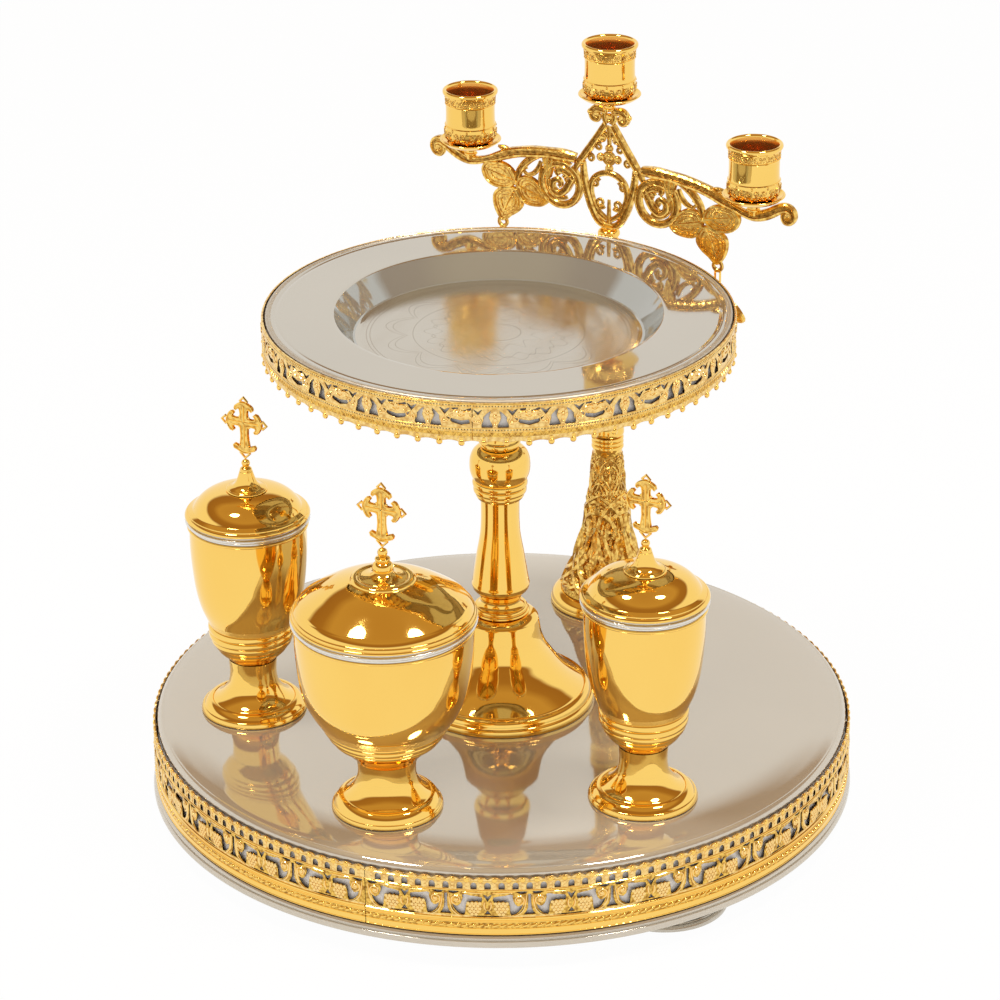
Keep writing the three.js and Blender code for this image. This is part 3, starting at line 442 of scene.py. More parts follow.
# %% Turn the base tray
WALL_R, WALL_FOOT, WALL_SHADOW, WALL_TOP = 195.2, 17.8, 18.3, 52
tray = turned("tray_spun", [
    [(0, 58), (60, 58), (120, 58)],
    flow([(160, 58), (168, 57.95), (176, 57.75), (184, 57.3), (189.5, 56.8), (192.8, 56.2)]),
    bead((192.8, 56.2), (195.9, 53), 0.9),
    [(195.9, 51.9), (195.9, 18.6), (195.9, 18.2)],
    bead((197.3, 18), (199.2, 16.2), 0.35), [(198.4, 15.5), (198.4, 14.9)],
    bead((199.2, 14.7), (199.8, 12), 0.2), [(199.4, 11.3), (198.4, 11), (188.2, 11), (188.2, 12.4)],
    [(194.4, 12.4), (194.4, 52)], flow([(192.4, 54.4), (184, 55.7), (170, 56.4), (160, 56.5)]),
    [(0, 56.5)],
], sides=288, finish=silver)
tray.data.materials.append(satin_silver)
tray.data.materials.append(painted_shade_gold)
# Faces of the wall behind the gallery: above the shadow line satin silver, below it near-black gold, a
# painted shadow at the gallery's foot.
for face in tray.data.polygons:
    x, y, height = face.center / MM
    if hypot(x, y) > WALL_R and WALL_FOOT < height < WALL_TOP:
        face.material_index = 1 if height > WALL_SHADOW else 2
stand_in(tray, "base_tray")
print("tray faces:", len(tray.data.polygons))

# %% Turn one saucer foot and copy it
FOOT_NAMES = ("foot_front_right", "foot_back", "foot_front_left")
foot_places = {}
for node in FOOT_NAMES:
    low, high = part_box(node)
    foot_places[node] = ((low + high) / 2 / MM, high.z / MM)
first_place, foot_top = foot_places[FOOT_NAMES[0]]
saucer = turned("saucer_foot_1", [
    [(0, 4), (3.5, 4), (3.5, foot_top), (10.4, foot_top)],
    flow([(11, foot_top - 0.4), (13, foot_top - 2.6), (19, foot_top - 5), (27, 4.6), (33, 3.6)]),
    [(33.4, 3.1)], bead((33.6, 3.2), (35.9, 1), 0.5), [(35.6, 0), (6.5, 0), (6.5, 2), (0, 2)],
], centre=(first_place.x, first_place.y), finish=silver)
for index, node in enumerate(FOOT_NAMES):
    place = foot_places[node][0]
    shift = (place.x - first_place.x, place.y - first_place.y, 0)
    foot = saucer if index == 0 else copied(saucer, f"saucer_foot_{index + 1}", shift)
    stand_in(foot, node)
print("feet:", {node: [round(v, 1) for v in place] for node, (place, _) in foot_places.items()})

# %% [markdown]
# ## The column
# Six turned pieces are threaded on a hidden rod: a bell-shaped base with a doubled rim, a beaded
# collar, a tapered shaft with a sharp lower edge, a ribbed knop, a neck and a flat boss.

# %% Turn the column
column_base = turned("column_bell", [
    [(0, 112.3), (14, 112.3)], flow([(15, 112.3), (17.5, 111.8), (19.7, 110.7), (21.1, 109)]),
    flow([(21.2, 108.9), (21.9, 105), (23.2, 98), (26.3, 90.3), (29.7, 85.1), (33, 80.5),
          (37.9, 74.8), (43, 70.2), (47, 67)]),
    [(47.3, 66.3)], flow([(47.6, 66.9), (49, 66.5), (50.3, 65.2), (50.9, 63.2)]),
    [(51.1, 62.6)], flow([(51.6, 62.6), (52.6, 61.6), (53, 59.9), (52.7, 58.3)]),
    [(47.5, 58.3), (46, 61), (30, 73), (19, 92), (16, 106), (0, 106)],
], sides=128)
collar = turned("column_collar_turned", [
    [(0, 125.1), (13, 125.1)], flow([(13.4, 124.9), (12.2, 123), (11.4, 121), (11.3, 119.4),
                                     (12, 117.8), (13.4, 116.7)]),
    bead((13.7, 116.6), (14.9, 114.6), 0.8), bead((15, 114.4), (15.9, 112.7), 0.7),
    [(15.6, 112.6), (0, 112.6)],
])
shaft = turned("column_shaft_turned", [
    [(0, 182.4), (10.9, 182.4)],
    flow([(10.9, 182.2), (10.8, 176), (10.9, 168), (11.3, 161.5), (12.1, 156), (13.2, 150),
          (14.2, 143.5), (15.2, 137), (16.1, 131)]),
    [(16.4, 130.4)], flow([(16.3, 129.4), (15.8, 127.6), (14.6, 126.1), (12.6, 125.4)]), [(0, 125.4)],
])
knop = turned("column_knop_turned", [
    [(0, 213.7), (9.6, 213.7)],
    flow([(9.8, 213.7), (12.4, 213.1), (14.8, 211.2), (16.5, 207.6), (17, 203.4), (16.8, 199.6),
          (15.8, 196.3), (14.6, 194.2)]),
    bead((14.5, 194), (14.6, 190.3), 0.9), bead((14.1, 190.1), (14.2, 186.6), 0.8),
    bead((13.2, 186.3), (12, 183), 0.9), [(11.2, 182.7), (0, 182.7)],
])
neck = turned("column_neck_turned", [
    [(0, 274.3), (13, 274.3), (13, 273)], bead((13, 273), (12, 270), 0.7),
    flow([(11.8, 269.8), (9.6, 265), (8.6, 256), (8.4, 244), (8.7, 230), (9.3, 222.4), (10.4, 218.2)]),
    bead((10.6, 218), (10.8, 214.8), 0.9), [(10.4, 214), (0, 214)],
])
boss = turned("plate_boss_turned", [
    [(0, 279.6), (25.6, 279.6)], bead((25.6, 279.6), (25, 277.4), 0.3),
    flow([(24.6, 277.2), (20, 276.4), (15.5, 275.6), (13, 274.6)]), [(0, 274.6)],
])
for piece, node in ((column_base, "column_base"), (collar, "column_collar"), (shaft, "column_shaft"),
                    (knop, "column_knop"), (neck, "column_neck"), (boss, "plate_boss")):
    stand_in(piece, node)
    print(node, "stands at", round(min(vertex.co.z for vertex in piece.data.vertices) / MM, 1), "mm")

# %% [markdown]
# ## The plate
# A broad flat rim runs into a round well with a steep wall and a flat floor. The rim ends in a
# rolled edge with a fine line beside it. It is one spun sheet, so its profile goes out over the
# top and back below. The wall meets rim and floor at crisp corners, so it mirrors the room only.

# %% Turn the plate
WELL_FROM, WELL_TO, EDGE_FROM = 79, 90, 124.6
plate = turned("plate_spun", [
    [(0, 281.5), (40, 281.5), (77.4, 281.5), (78.6, 281.5), (79.8, 281.7), (80.2, 282.2), (83, 285.7),
     (87, 290.7)],
    [(89.4, 293.7), (89.9, 294.35), (91.2, 294.6), (92.6, 294.6), (108, 294.6), (120, 294.6),
     (121.2, 294.6)],
    [(121.7, 294.4), (122.1, 294.4), (122.6, 294.6), (124.4, 294.6)],
    bead((125, 294.6), (127.5, 293.8), 0.85), [(127.4, 293.2), (92.6, 293.1)],
    [(90.8, 292.7), (89.8, 291.6), (82, 281.8), (80.4, 280.3), (78, 279.9), (0, 279.9)],
], sides=256, finish=plate_silver)
plate.data.materials.append(well_shade_silver)
plate.data.materials.append(edge_silver)
# The well's wall takes a darker silver, painted shade, and the rolled edge a rougher silver.
for face in plate.data.polygons:
    out = hypot(face.center.x, face.center.y) / MM
    on_wall = WELL_FROM < out < WELL_TO and face.normal.z > 0
    face.material_index = 2 if out > EDGE_FROM else int(on_wall)
stand_in(plate, "upper_plate")
print("plate faces:", len(plate.data.polygons))

# %% [markdown]
# ## Goblets and bowl
# Each vessel is four turned pieces and a ring: a foot with a rolled rim, a cup with three ribs
# at its bottom, a bright silver ring round the mouth, a domed lid and a bell-shaped finial.
# The goblets are twins, so one is turned and copied. The lid, finial and cross lift together.

# %% Where the vessels stand
def middle_of(node):
    """The centre of a CAD node seen from above, in millimetres."""
    low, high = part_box(node)
    return (low.x + high.x) / 2 / MM, (low.y + high.y) / 2 / MM


vessel_places = {name: middle_of(f"{name}_foot") for name in ("goblet_right", "goblet_left", "bowl")}
RIGHT, LEFT, FRONT = vessel_places.values()
print("vessels at", {name: [round(v, 2) for v in place] for name, place in vessel_places.items()})

# %% Turn a goblet
goblet = {
    "foot": turned("goblet_right_foot_turned", [
        [(0, 89.8), (13.6, 89.8)],
        flow([(13.8, 89.8), (13.4, 86), (13.2, 82.6), (13.3, 79.2), (14.5, 73.4), (17.6, 68.9),
              (20.6, 66.2), (22.9, 64.8)]),
        [(23.2, 64.3)], flow([(23.5, 64.8), (25.2, 64.5), (27, 63.2), (28, 61.9)]),
        [(28.3, 61.5)], bead((28.6, 61.5), (29.8, 58.4), 0.45),
        [(27.6, 58.3), (25, 60.6), (12, 66), (0, 68)],
    ], RIGHT),
    "cup": turned("goblet_right_cup_turned", [
        [(0, 94.5), (8, 94.6)], flow([(14, 96.5), (19, 101), (22, 108), (26, 119), (29.6, 133),
                                      (30.9, 148), (31.3, 162), (31.3, 173)]),
        [(31.3, 178), (32.4, 178), (32.4, 173.7)], bead((32.6, 173.6), (32.8, 171.7), 1.2),
        flow([(32.6, 171.6), (32.7, 165), (32.6, 158), (32.2, 151), (31.6, 144), (30.9, 137.5),
              (29.6, 129.8), (27.8, 123), (25.6, 117.4), (23.5, 112.4)]),
        bead((23.6, 112.2), (23.8, 108.4), 0.75), bead((23.5, 108.1), (23.2, 104), 0.85),
        bead((22.8, 103.7), (21.4, 99.8), 0.7),
        flow([(21, 99.5), (20, 97.2), (18.2, 94.9), (15.9, 92.7), (14.3, 90.9), (13.7, 90.1)]),
        [(0, 90.1)],
    ], RIGHT),
    "mouth": turned("goblet_right_mouth_ring", [
        [(32.6, 178.3), (33.2, 178.3), (33.2, 177.5)], bead((33.7, 177.4), (33.7, 175.2), 1.1),
        [(33.1, 175), (33, 173.8), (32.6, 173.8), (32.6, 178.3)],
    ], RIGHT, finish=bright_ring),
    "lid": turned("goblet_right_lid_turned", [
        [(0, 193.4), (6, 193.4)],
        flow([(9, 193.4), (12.6, 193.1), (16.1, 192.5), (20.4, 191.3), (24.3, 189.4), (27, 187.2),
              (29, 184.9), (30.2, 183.1)]),
        flow([(30.4, 182.8), (31.4, 182.2), (32.9, 181.5)]), [(33.1, 181)],
        bead((33.3, 181), (34.8, 178.9), 0.45), [(34.4, 178.6), (30.9, 178.6), (30.7, 173.8),
                                                 (29.7, 173.8), (29.7, 179)],
        flow([(29.2, 182), (26, 186), (19, 190), (10, 192.4), (4, 192.8)]), [(0, 192.8)],
    ], RIGHT),
    "finial": turned("goblet_right_finial_turned", [
        [(0, 211.5)], flow([(0.9, 211.3), (2, 210.5), (2.4, 209.2), (2, 207.9), (1.7, 207.3)]),
        [(2, 207)],
        flow([(2.2, 206.9), (3, 206.3), (3.4, 205.4), (3.4, 204.6)]), [(3.5, 204.4)],
        flow([(3.7, 204.3), (4.4, 202), (5.4, 199.3), (6.6, 197.1), (8.2, 195.6), (10.3, 194.8)]),
        bead((10.5, 194.6), (11.5, 193.5), 0.35), [(10, 193.3), (0, 193.3)],
    ], RIGHT, sides=64),
}
lined(goblet["cup"], RIGHT, inner_gold)
for part, piece in goblet.items():
    stand_in(piece, f"goblet_right_{part}")
    shift = (LEFT[0] - RIGHT[0], LEFT[1] - RIGHT[1], 0)
    stand_in(copied(piece, piece.name.replace("right", "left"), shift), f"goblet_left_{part}")
print("goblet faces:", sum(len(piece.data.polygons) for piece in goblet.values()))

# %% Turn the bowl
bowl = {
    "foot": turned("bowl_foot_turned", [
        [(0, 87.3), (16.3, 87.3)],
        flow([(16.5, 87.3), (15.9, 84), (15.7, 80.8), (15.9, 77.6), (17.4, 73.2), (20, 69.4),
              (22.3, 67), (23.6, 66)]),
        [(23.9, 65.5)], flow([(24.2, 66), (26, 65.4), (27.9, 63.4), (28.9, 61.4)]),
        [(29.2, 60.9)], bead((29.4, 60.9), (30.1, 58.4), 0.3),
        [(28, 58.3), (25.4, 60.8), (14, 66), (0, 68)],
    ], FRONT),
    "cup": turned("bowl_cup_turned", [
        [(0, 92.5), (12, 92.8)], flow([(20, 95.2), (28, 101), (35, 109.4), (41, 120), (44.6, 132),
                                       (46.2, 146), (46.7, 158), (46.7, 167)]),
        [(46.7, 172), (47.6, 172), (47.6, 167.7)], bead((47.8, 167.6), (48, 166), 0.9),
        flow([(47.9, 165.8), (48, 160), (47.7, 152), (47.2, 145), (46.5, 138), (45.4, 131), (43.7, 125),
              (41.3, 119.6), (38.2, 114.2), (34.2, 109.2)]),
        bead((34.1, 109), (32.2, 105.6), 0.8), bead((31.8, 105.3), (30.2, 102), 0.8),
        bead((29.7, 101.7), (27.4, 98.6), 0.7),
        flow([(27, 98.3), (24, 95.6), (20.8, 92.4), (18.4, 89.8), (16.9, 87.6)]), [(0, 87.6)],
    ], FRONT, sides=128),
    "mouth": turned("bowl_mouth_ring", [
        [(47.8, 172.3), (48.4, 172.3), (48.4, 171.5)], bead((48.9, 171.4), (48.9, 169.2), 1.1),
        [(48.3, 169), (48.2, 167.8), (47.8, 167.8), (47.8, 172.3)],
    ], FRONT, sides=128, finish=bright_ring),
    "lid": turned("bowl_lid_turned", [
        [(0, 194.6), (12, 194.6), (13.4, 194.5)], bead((13.6, 194.6), (17.4, 193.5), 1.1),
        [(17.5, 193.4)],
        flow([(17.7, 193.3), (22, 192), (28, 189.9), (32.4, 187.8), (37, 185.1), (41.6, 182.2),
              (45.3, 179.6)]),
        [(45.5, 179.3)], flow([(45.8, 179.1), (46.9, 177.8), (47.8, 176.3)]), [(47.9, 175.9)],
        bead((48.1, 175.9), (48.9, 174.2), 0.35), bead((49, 174), (49.8, 172.8), 0.35),
        [(49.4, 172.6), (46, 172.6)],
        [(45.8, 167.8), (44.8, 167.8), (44.8, 174)],
        flow([(43.6, 178), (38, 182.6), (28, 187.4), (16, 191.4), (6, 192.9)]), [(0, 193)],
    ], FRONT, sides=128),
    "finial": turned("bowl_finial_turned", [
        [(0, 211.5)], flow([(0.9, 211.3), (2, 210.6), (2.7, 208.9), (2.4, 207.4), (1.9, 206.5)]),
        [(2.9, 206.1)],
        bead((3.5, 205.9), (3.7, 204.3), 0.5), [(2.9, 204)],
        flow([(3, 203.8), (4.5, 202.9), (5.6, 201.1), (5.6, 199.3), (4.9, 198.2)]),
        flow([(5, 198), (6.4, 196.8), (9.2, 195.6), (12.3, 194.9)]),
        bead((12.4, 194.9), (12.9, 194.5), 0.1), [(12.4, 194.3), (0, 194.3)],
    ], FRONT, sides=64),
}
lined(bowl["cup"], FRONT, inner_gold)
for part, piece in bowl.items():
    stand_in(piece, f"bowl_{part}")
print("bowl faces:", sum(len(piece.data.polygons) for piece in bowl.values()))

# %% [markdown]
# ## Bars, sheets and relief
# Filigree is drawn flat, as a goldsmith draws it, and stood up or rolled afterwards. A sheet is
# an outline with holes, cut with a softened edge. A bar is a line whose width swells and tapers,
# drawn with a round or a grooved section. Curves fit this better than extruded faces, because
# one point carries the place, the width and the lift above the ground.

# %% Draw curves and make them metal
def new_curve(name, kind, rows, closed=True):
    """A curve object made of rows of points (x, y, half width, lift), in millimetres."""
    curve = bpy.data.curves.new(name, "CURVE")
    curve.dimensions = kind
    for row in rows:
        spline = curve.splines.new("POLY")
        spline.points.add(len(row) - 1)
        for point, values in zip(spline.points, row):
            lift = values[3] if len(values) > 3 else 0.0
            point.co = (values[0] * MM, values[1] * MM, lift * MM, 1)
            point.radius = values[2] if len(values) > 2 else 1.0
        spline.use_cyclic_u = closed
    piece = bpy.data.objects.new(name, curve)
    bpy.context.scene.collection.objects.link(piece)
    return piece


def to_mesh(piece, finish):
    """Turn a curve into metal: a closed mesh with its faces outwards."""
    take(piece)
    bpy.ops.object.convert(target="MESH")
    bpy.ops.object.mode_set(mode="EDIT")
    bpy.ops.mesh.select_all(action="SELECT")
    bpy.ops.mesh.remove_doubles(threshold=WELD / 2)
    bpy.ops.mesh.normals_make_consistent(inside=False)
    bpy.ops.object.mode_set(mode="OBJECT")
    piece = bpy.context.object
    piece.data.materials.clear()
    piece.data.materials.append(finish)
    return piece


# %% Cut a sheet and draw bars
def sheet(name, outlines, thickness, edge, finish, cut=None):
    """Cut a flat sheet: an outline inside another is a hole; cut is a dark finish that paints shade on
    sides and back.
    """
    piece = new_curve(name, "2D", outlines)
    piece.data.fill_mode = "BOTH"
    piece.data.extrude = (thickness / 2 - edge) * MM
    piece.data.bevel_depth = edge * MM
    piece.data.bevel_resolution = int(edge > 0.2)
    piece.data.offset = -edge * MM
    piece = to_mesh(piece, finish)
    # Sides and back get the dark finish: painted shade.
    if cut:
        piece.data.materials.append(cut)
        for face in piece.data.polygons:
            face.material_index = int(face.normal.z < 0.5)
    return piece


def bars(name, rows, finish, closed=False, section=None):
    """Draw bars along rows of (x, y, half width, lift), round ones or with a section of their own."""
    piece = new_curve(name, "3D", rows, closed)
    piece.data.twist_mode = "Z_UP"
    piece.data.use_fill_caps = True
    if section:
        piece.data.bevel_mode = "OBJECT"
        piece.data.bevel_object = section
    else:
        piece.data.bevel_depth = MM
        piece.data.bevel_resolution = 1
    return to_mesh(piece, finish)


def spiral(x, y, start_r, end_r, start, turns, width, steps=18):
    """Points of a curl about (x, y), from one radius to another, thinning to its eye."""
    row = []
    for i in range(steps + 1):
        t = i / steps
        r, a = start_r + (end_r - start_r) * t, radians(start) + 2 * pi * turns * t
        row.append((x + r * cos(a), y + r * sin(a), width * (1 - 0.35 * t)))
    return row


def paired(rows, *lift):
    """Strokes on the left and on the right of a unit, all lifted by the same."""
    return [[(side * x, y, w, *lift) for x, y, w in row] for side in (-1, 1) for row in rows]


# %% Strew grains and repeat a unit
def grain(name, x, y, size, flatness, finish, faces=1):
    """One raised grain of metal, squashed against the ground it lies on."""
    let_go()
    place = (x * MM, y * MM, 0)
    bpy.ops.mesh.primitive_ico_sphere_add(subdivisions=faces, radius=size * MM, location=place)
    piece = bpy.context.object
    bpy.ops.object.mode_set(mode="EDIT")
    bpy.ops.transform.resize(value=(1, 1, flatness))
    bpy.ops.object.mode_set(mode="OBJECT")
    piece.data.materials.append(finish)
    return settle(piece, name)


def strewn(name, places, size, flatness, finish, faces=1, lift=0.0):
    """Copies of one grain at several places."""
    first = grain(name, *places[0], size, flatness, finish, faces)
    copies = [copied(first, name, (x - places[0][0], y - places[0][1], 0)) for x, y in places[1:]]
    piece = joined(name, first, *copies)
    piece.data.transform(Matrix.Translation((0, 0, lift * MM)))
    return piece


def repeated(piece, count, pitch):
    """Repeat a flat unit along x."""
    take(piece)
    row = piece.modifiers.new("row", "ARRAY")
    row.count = count
    row.use_relative_offset = False
    row.use_constant_offset = True
    row.constant_offset_displace = (pitch * MM, 0, 0)
    bpy.ops.object.modifier_apply(modifier="row")
    return piece


# %% Score a sheet and darken its ground
def scored(piece, places, across=(1, 0, 0)):
    """Score a flat sheet at these places, so that it can bend or change its finish there."""
    take(piece)
    bpy.ops.object.mode_set(mode="EDIT")
    for place in places:
        bpy.ops.mesh.select_all(action="SELECT")
        bpy.ops.mesh.bisect(plane_co=[value * place * MM for value in across], plane_no=across)
    bpy.ops.object.mode_set(mode="OBJECT")
    return piece


def grounded(piece, finish, top, *bands):
    """Give the front of a flat sheet a darker ground between two heights; its top edge stays bright."""
    scored(piece, sorted(height for band in bands for height in band), (0, 1, 0))
    piece.data.materials.append(finish)
    for face in piece.data.polygons:
        height = face.center.y / MM
        if face.normal.z > 0.5 and any(low < height < high for low, high in bands):
            face.material_index = len(piece.data.materials) - 1
        elif height > top:
            face.material_index = 0
    return piece


# %% Roll it up or stand it up
def reshaped(piece, shape):
    """Move every point of a mesh by one rule for arrays x, y, z in millimetres."""
    points = np.empty(len(piece.data.vertices) * 3)
    piece.data.vertices.foreach_get("co", points)
    x, y, z = points.reshape(-1, 3).T / MM
    piece.data.vertices.foreach_set("co", (np.stack(shape(x, y, z), 1) * MM).ravel())
    piece.data.update()
    return piece


def rolled(piece, radius, first):
    """Roll a flat strip round the main axis; x runs along it from the angle first, y is its height."""
    def shape(x, y, z):
        angle = radians(first) + x / radius
        return (radius + z) * np.cos(angle), (radius + z) * np.sin(angle), y
    return smooth(reshaped(piece, shape), 40)


def stood_up(piece, place, turn=0.0):
    """Stand a flat piece up over a place, its y upwards, turned a little about the upright."""
    c, s = cos(radians(turn)), sin(radians(turn))

    def shape(x, y, z):
        return place[0] + x * c + z * s, place[1] + x * s - z * c, y
    return smooth(reshaped(piece, shape), 40)


# %% The same points elsewhere
def mirrored(row):
    """The same points on the other side."""
    return [(-x, *rest) for x, *rest in row]


def at_place(row, x0):
    """The same points further along a strip."""
    return [(x + x0, y) for x, y in row]


def circle(x, y, radius, width, first=0.0, last=2 * pi, steps=24):
    """Points of a ring or an arc, for a bar."""
    angles = np.linspace(first, last, steps + 1)
    return [(x + radius * cos(a), y + radius * sin(a), width) for a in angles]


# %% [markdown]
# ## The gallery
# The gallery is pierced and pressed sheet in two strips. One unit of its pattern has two bunches
# of grapes, two curled buds and a split between them, under a row of small windows with a
# scalloped top, over a plain band with a slanted rope. The holes are cut flat over a whole
# strip, the relief is made for one unit and repeated, and then all of it is rolled round.

# %% Cut the gallery strip
GALLERY_MID_R = 197.7
UNITS, WINDOWS = 14, 6
PITCH = pi * GALLERY_MID_R / UNITS
WINDOW = PITCH / WINDOWS
LENGTH = UNITS * PITCH
STRIP_TOP, STRIP_FOOT, STRIP_GAP, SCALLOP, SCORE = 52, 18.4, 0.15, 1.3, 5.4
THICK, SOFT_EDGE = 0.9, 0.15

grape_gap = [
    (3.2, 41.3), (6, 41.9), (9, 42.2), (12, 43), (13.5, 42.6), (13.1, 41), (13.6, 39), (14.4, 37),
    (15.8, 35.7), (17.2, 35.9), (18.5, 36.7), (17.9, 34.5), (16.5, 32.5), (14.7, 31), (12.4, 30.4),
    (11.9, 32), (11.8, 34.4), (11.5, 36.6), (10.4, 38.5), (9.3, 38.3), (8.2, 39.1), (7, 38.4),
    (5.8, 39.1), (4.6, 38.4), (3.4, 38.3), (2.8, 39.8),
]
split = [(-2.4, 43.1), (-1, 42.4), (0, 41.6), (1, 42.4), (2.4, 43.1), (1.3, 40.9), (0, 38.7),
         (-1.3, 40.9)]
stem_side = [(0.8, 43.2), (0.75, 38), (0.9, 35), (1.7, 32.8), (3.1, 31)]
stem_gap = stem_side + mirrored(stem_side[::-1])
brow = [(1.4, 44.7), (4.5, 44.8), (7.2, 44.5), (5.8, 43.7), (4, 43.2), (2, 43.6)]
under_slit = [(-9, 29.9), (-4.5, 30.2), (0, 30.1), (4.5, 30.2), (9, 29.9), (4.5, 29.5), (0, 29.6),
              (-4.5, 29.5)]
small_split = [(-1.7, 31.1), (1.7, 31.1), (0, 33.4)]
window = [(-1.6, 46.3), (1.6, 46.3), (1.6, 48.6), (1.1, 49.7), (0, 50.2), (-1.1, 49.7), (-1.6, 48.6)]

top_edge = [
    (min(max(x, STRIP_GAP), LENGTH - STRIP_GAP), STRIP_TOP + SCALLOP * abs(sin(pi * x / WINDOW)) ** 0.8)
    for x in np.arange(UNITS * WINDOWS * 6 + 1) * WINDOW / 6
]
strip_outlines = [[(LENGTH - STRIP_GAP, STRIP_FOOT), (STRIP_GAP, STRIP_FOOT)] + top_edge]
holes = (grape_gap, mirrored(grape_gap), split, small_split, under_slit)
for unit in range(UNITS):
    start, middle = unit * PITCH, (unit + 0.5) * PITCH
    strip_outlines += [at_place(row, middle) for row in holes]
    strip_outlines += [at_place(brow, start), at_place(mirrored(brow), start + PITCH)]
    strip_outlines += [at_place(stem_gap, start)] if unit else []
    strip_outlines += [at_place(window, middle + k * WINDOW) for k in range(-2, 3)]
    strip_outlines += [at_place(window, start)] if unit else []
# Its cut sides and back are near-black, a painted shade.
strip = sheet("gallery_strip", strip_outlines, THICK, SOFT_EDGE, pierced_gold, painted_shade_gold)
grounded(strip, ground_gold, 51, (22.4, 26), (30.4, 44.9))
grounded(strip, gold, STRIP_TOP + SCALLOP + 1, (18.2, 22.4), (26, 29.3))
scored(strip, np.arange(SCORE, LENGTH, SCORE))
print("gallery strip:", round(LENGTH, 1), "mm,", len(strip.data.polygons), "faces")

# %% Raise the relief of one gallery unit
GRAPE_ROWS = ((31.2, 2), (32.9, 3), (34.6, 4), (36.3, 3), (37.7, 4))
GRAPES_AT, GRAPE_STEP, BUD = 7.2, 2.05, (16.5, 39.8)
grape_places = [
    (GRAPES_AT + (k - (wide - 1) / 2) * GRAPE_STEP, y) for y, wide in GRAPE_ROWS for k in range(wide)
]
grapes = strewn("grapes", grape_places + mirrored(grape_places), 1.16, 0.75, pale_gold, lift=0.35)
bud_work = bars("buds", paired([
    spiral(*BUD, 3.1, 0.8, -80, 1.35, 0.62),
    flow([(20.6, 43.2, 0.3), (20, 38, 0.55), (18.9, 34, 0.6), (16.4, 31.2, 0.5),
          (13.4, 29.9, 0.25)], 4),
    flow([(2.6, 43.9, 0.3), (6, 44, 0.55), (10, 44.3, 0.6), (13.4, 44.2, 0.35)], 4),
    flow([(0.9, 33.6, 0.3), (1.9, 36.4, 0.7), (1.6, 38.6, 0.4)], 4),
], 0.45), pale_gold)
bud_hearts = strewn("bud_hearts", [BUD, *mirrored([BUD])], 1.3, 0.7, pale_gold, 2, 0.4)
pillars = [(k + 0.5) * WINDOW for k in range(-3, 3)]
studs = strewn("studs", [(x, y) for x in pillars for y in (47.2, 49.2)], 0.85, 0.6, pale_gold, lift=0.4)
crown = strewn("crown", [(x, 51.6) for x in pillars], 1.5, 0.45, gold, 2, 0.4)
unit_relief = joined("gallery_relief", grapes, bud_work, bud_hearts, studs, crown)
unit_relief.data.transform(Matrix.Translation((PITCH / 2 * MM, 0, 0)))
repeated(unit_relief, UNITS, PITCH)
print("gallery relief faces:", len(unit_relief.data.polygons))

# %% Lay the rope and the ridges along the strip
ROPE_AT, ROPE_STEP, GALLERY_SEAM = 24.2, 4.02, -85.5
rope = grain("rope", 0, 0, 1, 0.8, gold, 2)
reshaped(rope, lambda x, y, z: (2 * x + 0.9 * y + 2, 0.35 * x + 1.15 * y + ROPE_AT, 1.1 * z + 0.4))
rope_count = int(LENGTH // ROPE_STEP)
repeated(rope, rope_count, LENGTH / rope_count)


def lines_along(name, first, last, count, lift, finish, *lines):
    """Straight bars along a strip, one for each (height, half width)."""
    steps = np.linspace(first, last, count)
    return bars(name, [[(x, height, width, lift) for x in steps] for height, width in lines], finish)


ridge_work = lines_along(
    "ridges", 0.2, LENGTH - 0.2, 90, 0.38, gold,
    (45.4, 0.5), (28.6, 0.75), (27.2, 0.35), (26.3, 0.4), (22.1, 0.4), (50.9, 0.3), (18.9, 0.4),
)
# A near-black line along the strip's foot paints the shadow between gallery and tray.
foot_line = lines_along("foot_line", 0.2, LENGTH - 0.2, 90, 0.1, painted_shade_gold, (18.2, 0.5))
gallery = joined("gallery_right_pierced", strip, unit_relief, rope, ridge_work, foot_line)
other_half = copied(gallery, "gallery_left_pierced", (0, 0, 0))
rolled(gallery, GALLERY_MID_R, GALLERY_SEAM)
rolled(other_half, GALLERY_MID_R, GALLERY_SEAM + 180)
stand_in(gallery, "gallery_right")
stand_in(other_half, "gallery_left")
print("one gallery strip:", len(gallery.data.polygons), "faces")

# %% [markdown]
# ## The skirt of the plate
# Under the plate's edge hangs a narrower strip: a flower on a post, then a leaf over a crescent
# slit, again and again. Two rows of fine dots frame it, a fringe is pressed below, and sixty-nine
# little drops hang from the hem. It is made in the same way as the gallery, and a satin lining
# inside it gives the silver that shows through the holes.

# %% Cut the skirt strip
SKIRT_R, SKIRT_START = 128.9, -64.9
SKIRT_UNITS = 23
SKIRT_PITCH = 2 * pi * SKIRT_R / SKIRT_UNITS
SKIRT_LENGTH = SKIRT_UNITS * SKIRT_PITCH
DROPS = 3 * SKIRT_UNITS
DROP = SKIRT_LENGTH / DROPS
HEM, HEM_WAVE, SKIRT_TOP, SKIRT_GAP, SKIRT_SCORE = 271.9, 1.3, 294.5, 0.02, 5

post_gap = [
    (2.2, 290.2), (4.3, 288.6), (6, 286.6), (6, 284.6), (6.9, 282.3), (7, 280.8), (1.3, 280.8),
    (1.6, 282.6), (2.6, 284.4), (3.2, 286.4), (2.6, 288.4),
]
notch = [(6, 291.2), (7.4, 290.7), (8.9, 289.7), (10.4, 290.7), (11.8, 291.2), (10.5, 289.3),
         (9, 287.5), (7.6, 289.3)]
crescent = [
    (-7.8, 286.2), (-4.6, 283.2), (0, 281.9), (4.6, 283), (7.8, 286.3), (4.2, 285), (0, 284.3),
    (-4.2, 285.1),
]
slit_one = [(-5, 291.2), (-1.6, 291.5), (-1.8, 290.5), (-4.4, 290.3)]
slit_two = [(1.2, 290), (5.2, 291.5), (5.8, 290.6), (2.2, 289.2)]

